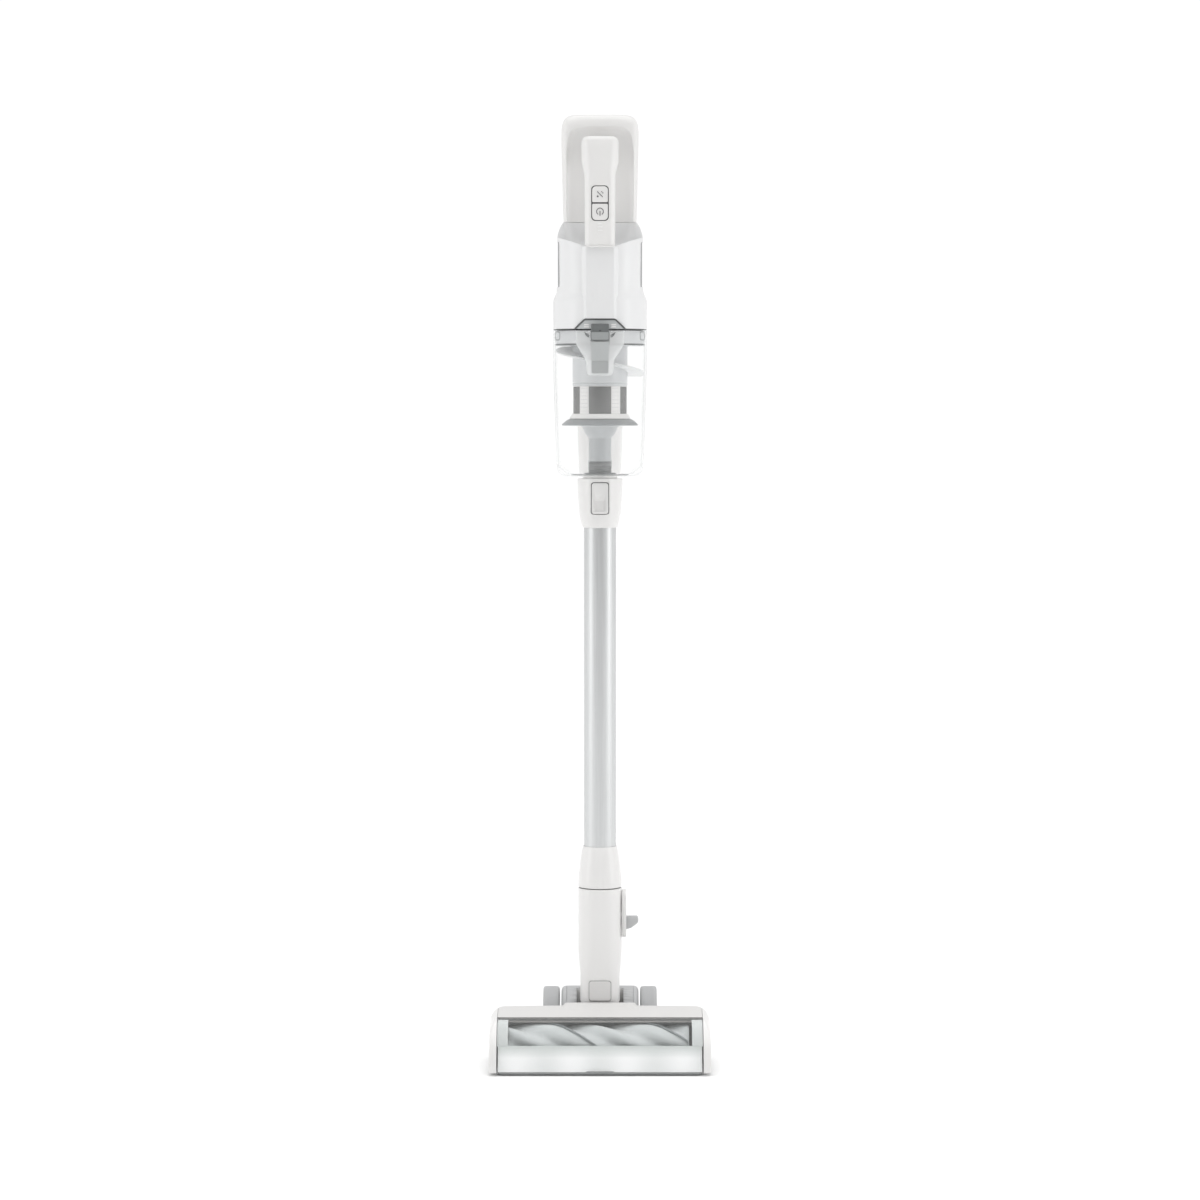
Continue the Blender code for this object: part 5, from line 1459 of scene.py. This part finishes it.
def make_battery():
    """The scooped front wall, and the pack behind it with its side grooves and its latch."""
    wall = body_loft("battery_housing_fine", battery_keys(), WHITE, 8, 30, 144)
    pack = body_loft("battery_pack_fine", battery_keys(), WHITE, 8, 30, 144)
    rear_half = block("rear_half", (-0.06, -0.0603, 0.90), (0.06, 0.05, 1.20), WHITE, 0)
    front_half = block("front_half", (-0.06, -0.15, 0.90), (0.06, -0.0600, 1.20), WHITE, 0)
    shaped(wall, [rear_half, make_scoop()], edge=0.0006, angle=50)
    pad = block("bridge_pad", (-0.0190, -0.0704, 1.0340), (0.0190, -0.0650, 1.0610), WHITE, 0.0020, 4)
    trim(pad, "battery_housing")
    room = block("room", (-0.0385, -0.10, 0.9760), (0.0385, -0.0185, 1.0800), WHITE, 0)
    latch_room = block("latch_room", (-0.0105, -0.0186, 1.0545), (0.0105, 0.01, 1.0655), WHITE, 0.0006)
    grooves = []
    for side in (-1, 1):
        for k in range(6):
            z = 1.0060 + 0.0060 * k
            x0, x1 = sorted((side * 0.0424, side * 0.0500))
            low, high = (x0, -0.0460, z), (x1, -0.0280, z + 0.0022)
            grooves.append(block(f"grip_{side}_{k}", low, high, WHITE, 0.0008, 2))
    shaped(pack, [front_half, room, latch_room, *grooves], edge=0.0004, angle=30)
    stands_for(wall)
    stands_for(pack)
    low, high = (-0.0100, -0.0181, 1.0550), (0.0100, -0.0150, 1.0650)
    latch = block("battery_latch_fine", low, high, MID_GREY, 0.0009, 4)
    ribs = []
    for k in range(4):
        rise = 0.0020 * k
        low, high = (-0.0080, -0.0156, 1.0568 + rise), (0.0080, -0.0140, 1.0576 + rise)
        ribs.append(block(f"rib_{k}", low, high, MID_GREY, 0))
    stands_for(shaped(latch, ribs))
    make_cells()


def make_cells():
    """Six cells between two holders."""
    low, high = (-0.0350, -0.0560, 0.9790), (0.0350, -0.0225, 0.9830)
    holder = block("cell_block_fine", low, high, WRAP, 0.0006, 3)
    parts = [block("top", (-0.0350, -0.0560, 1.0460), (0.0350, -0.0225, 1.0500), WRAP, 0.0006, 3)]
    for y in (-0.0490, -0.0300):
        for column in range(3):
            x = -0.0230 + 0.0230 * column
            parts.append(rod(f"cell_{column}_{y}", (x, y, 0.9810), (x, y, 1.0480), 0.0090, WRAP, 48))
    stands_for(shaped(holder, parts, "UNION"))


# What the frame still shows


def finish_frame_nodes():
    """Every frame node gets its material by its slot, for those that are still shown."""
    looks = {
        "white_plastic": WHITE,
        "pale_grey_plastic": PALE_GREY,
        "grey_plastic": GREY,
        "mid_grey_plastic": MID_GREY,
        "dark_grey_plastic": DARK,
        "clear_plastic": CLEAR,
        "frosted_plastic": FROST,
        "anodised_tube": TUBE,
        "steel": STEEL,
        "steel_mesh": MESH,
        "brass": BRASS,
        "rubber": RUBBER,
        "roll_pile": PILE,
        "bristle": BRISTLE,
        "filter_felt": FELT,
        "circuit_board": BOARD,
        "cell_wrap": WRAP,
    }
    for name, node in frame["nodes"].items():
        node.data.materials.clear()
        node.data.materials.append(looks[SLOT_OF[name]])


# Studio


def make_stage():
    """A plain pale floor, a soft bright surround, and large soft lights over it and to its sides."""
    shape = bmesh.new()
    bmesh.ops.create_circle(shape, cap_ends=True, segments=96, radius=40.0)
    mesh = bpy.data.meshes.new("floor")
    shape.to_mesh(mesh)
    shape.free()
    floor = linked(bpy.data.objects.new("floor", mesh))
    mesh.materials.append(FLOOR)
    floor.location.z = CAD_BOX[0][2] - 0.0002
    world = bpy.data.worlds.new("studio")
    bpy.context.scene.world = world
    world.use_nodes = True
    dim_front(world.node_tree)
    sun = bpy.data.lights.new("overhead", "SUN")
    sun.energy = 1.40
    sun.angle = math.radians(70)
    high = linked(bpy.data.objects.new("overhead", sun))
    high.rotation_euler = (math.radians(8), 0, 0)
    soft_light("left", (-2.7, -1.0, 1.1), (0, 0, 0.6), 0.9, 2.4, 12)
    soft_light("right", (2.7, -1.0, 1.1), (0, 0, 0.6), 0.9, 2.4, 14)


def dim_front(tree):
    """An even bright surround, dimmer towards the front as a studio is behind its camera."""
    place = added(tree, "TexCoord", {}).outputs["Generated"]
    facing = added(tree, "VectorMath", {0: place, 1: (0, -1, 0)})
    facing.operation = "DOT_PRODUCT"
    values = {"From Min": 0.35, "From Max": 1.0, "To Min": 0.76, "To Max": 0.26}
    level = added(tree, "MapRange", {**values, "Value": facing.outputs["Value"]})
    level.interpolation_type = "SMOOTHSTEP"
    seen = added(tree, "LightPath", {}).outputs["Is Camera Ray"]
    strength = added(tree, "Mix", {0: seen, 2: level.outputs["Result"], 3: 1.05}).outputs[0]
    feed(tree, tree.nodes["Background"], {"Color": (1.0, 1.0, 1.0, 1), "Strength": strength})


def soft_light(name, at, towards, width, height, power):
    light = bpy.data.lights.new(name, "AREA")
    light.shape = "RECTANGLE"
    light.size = width
    light.size_y = height
    light.energy = power
    obj = bpy.data.objects.new(name, light)
    obj.location = at
    obj.rotation_euler = (Vector(towards) - Vector(at)).to_track_quat("-Z", "Y").to_euler()
    linked(obj)


def make_camera():
    """A long lens a little above the middle of the machine, looking slightly down."""
    data = bpy.data.cameras.new("camera")
    data.lens = 108.0
    data.sensor_width = 36.0
    camera = bpy.data.objects.new("camera", data)
    distance = 4.176
    height = 0.7688
    tilt = math.atan(1 / 18)
    camera.location = (0.0, SHIFT - distance, height)
    camera.rotation_euler = (math.pi / 2 - tilt, 0.0, 0.0)
    linked(camera)
    bpy.context.scene.camera = camera


FLOOR = plastic("pale_floor", (0.93, 0.93, 0.93), 0.80, 0.02, 0.004)
bpy.context.scene.view_settings.view_transform = "Standard"
make_camera()
make_stage()
make_wand()
make_neck()
make_yoke()
make_head()
make_bin_unit()
make_hand_unit()
finish_frame_nodes()
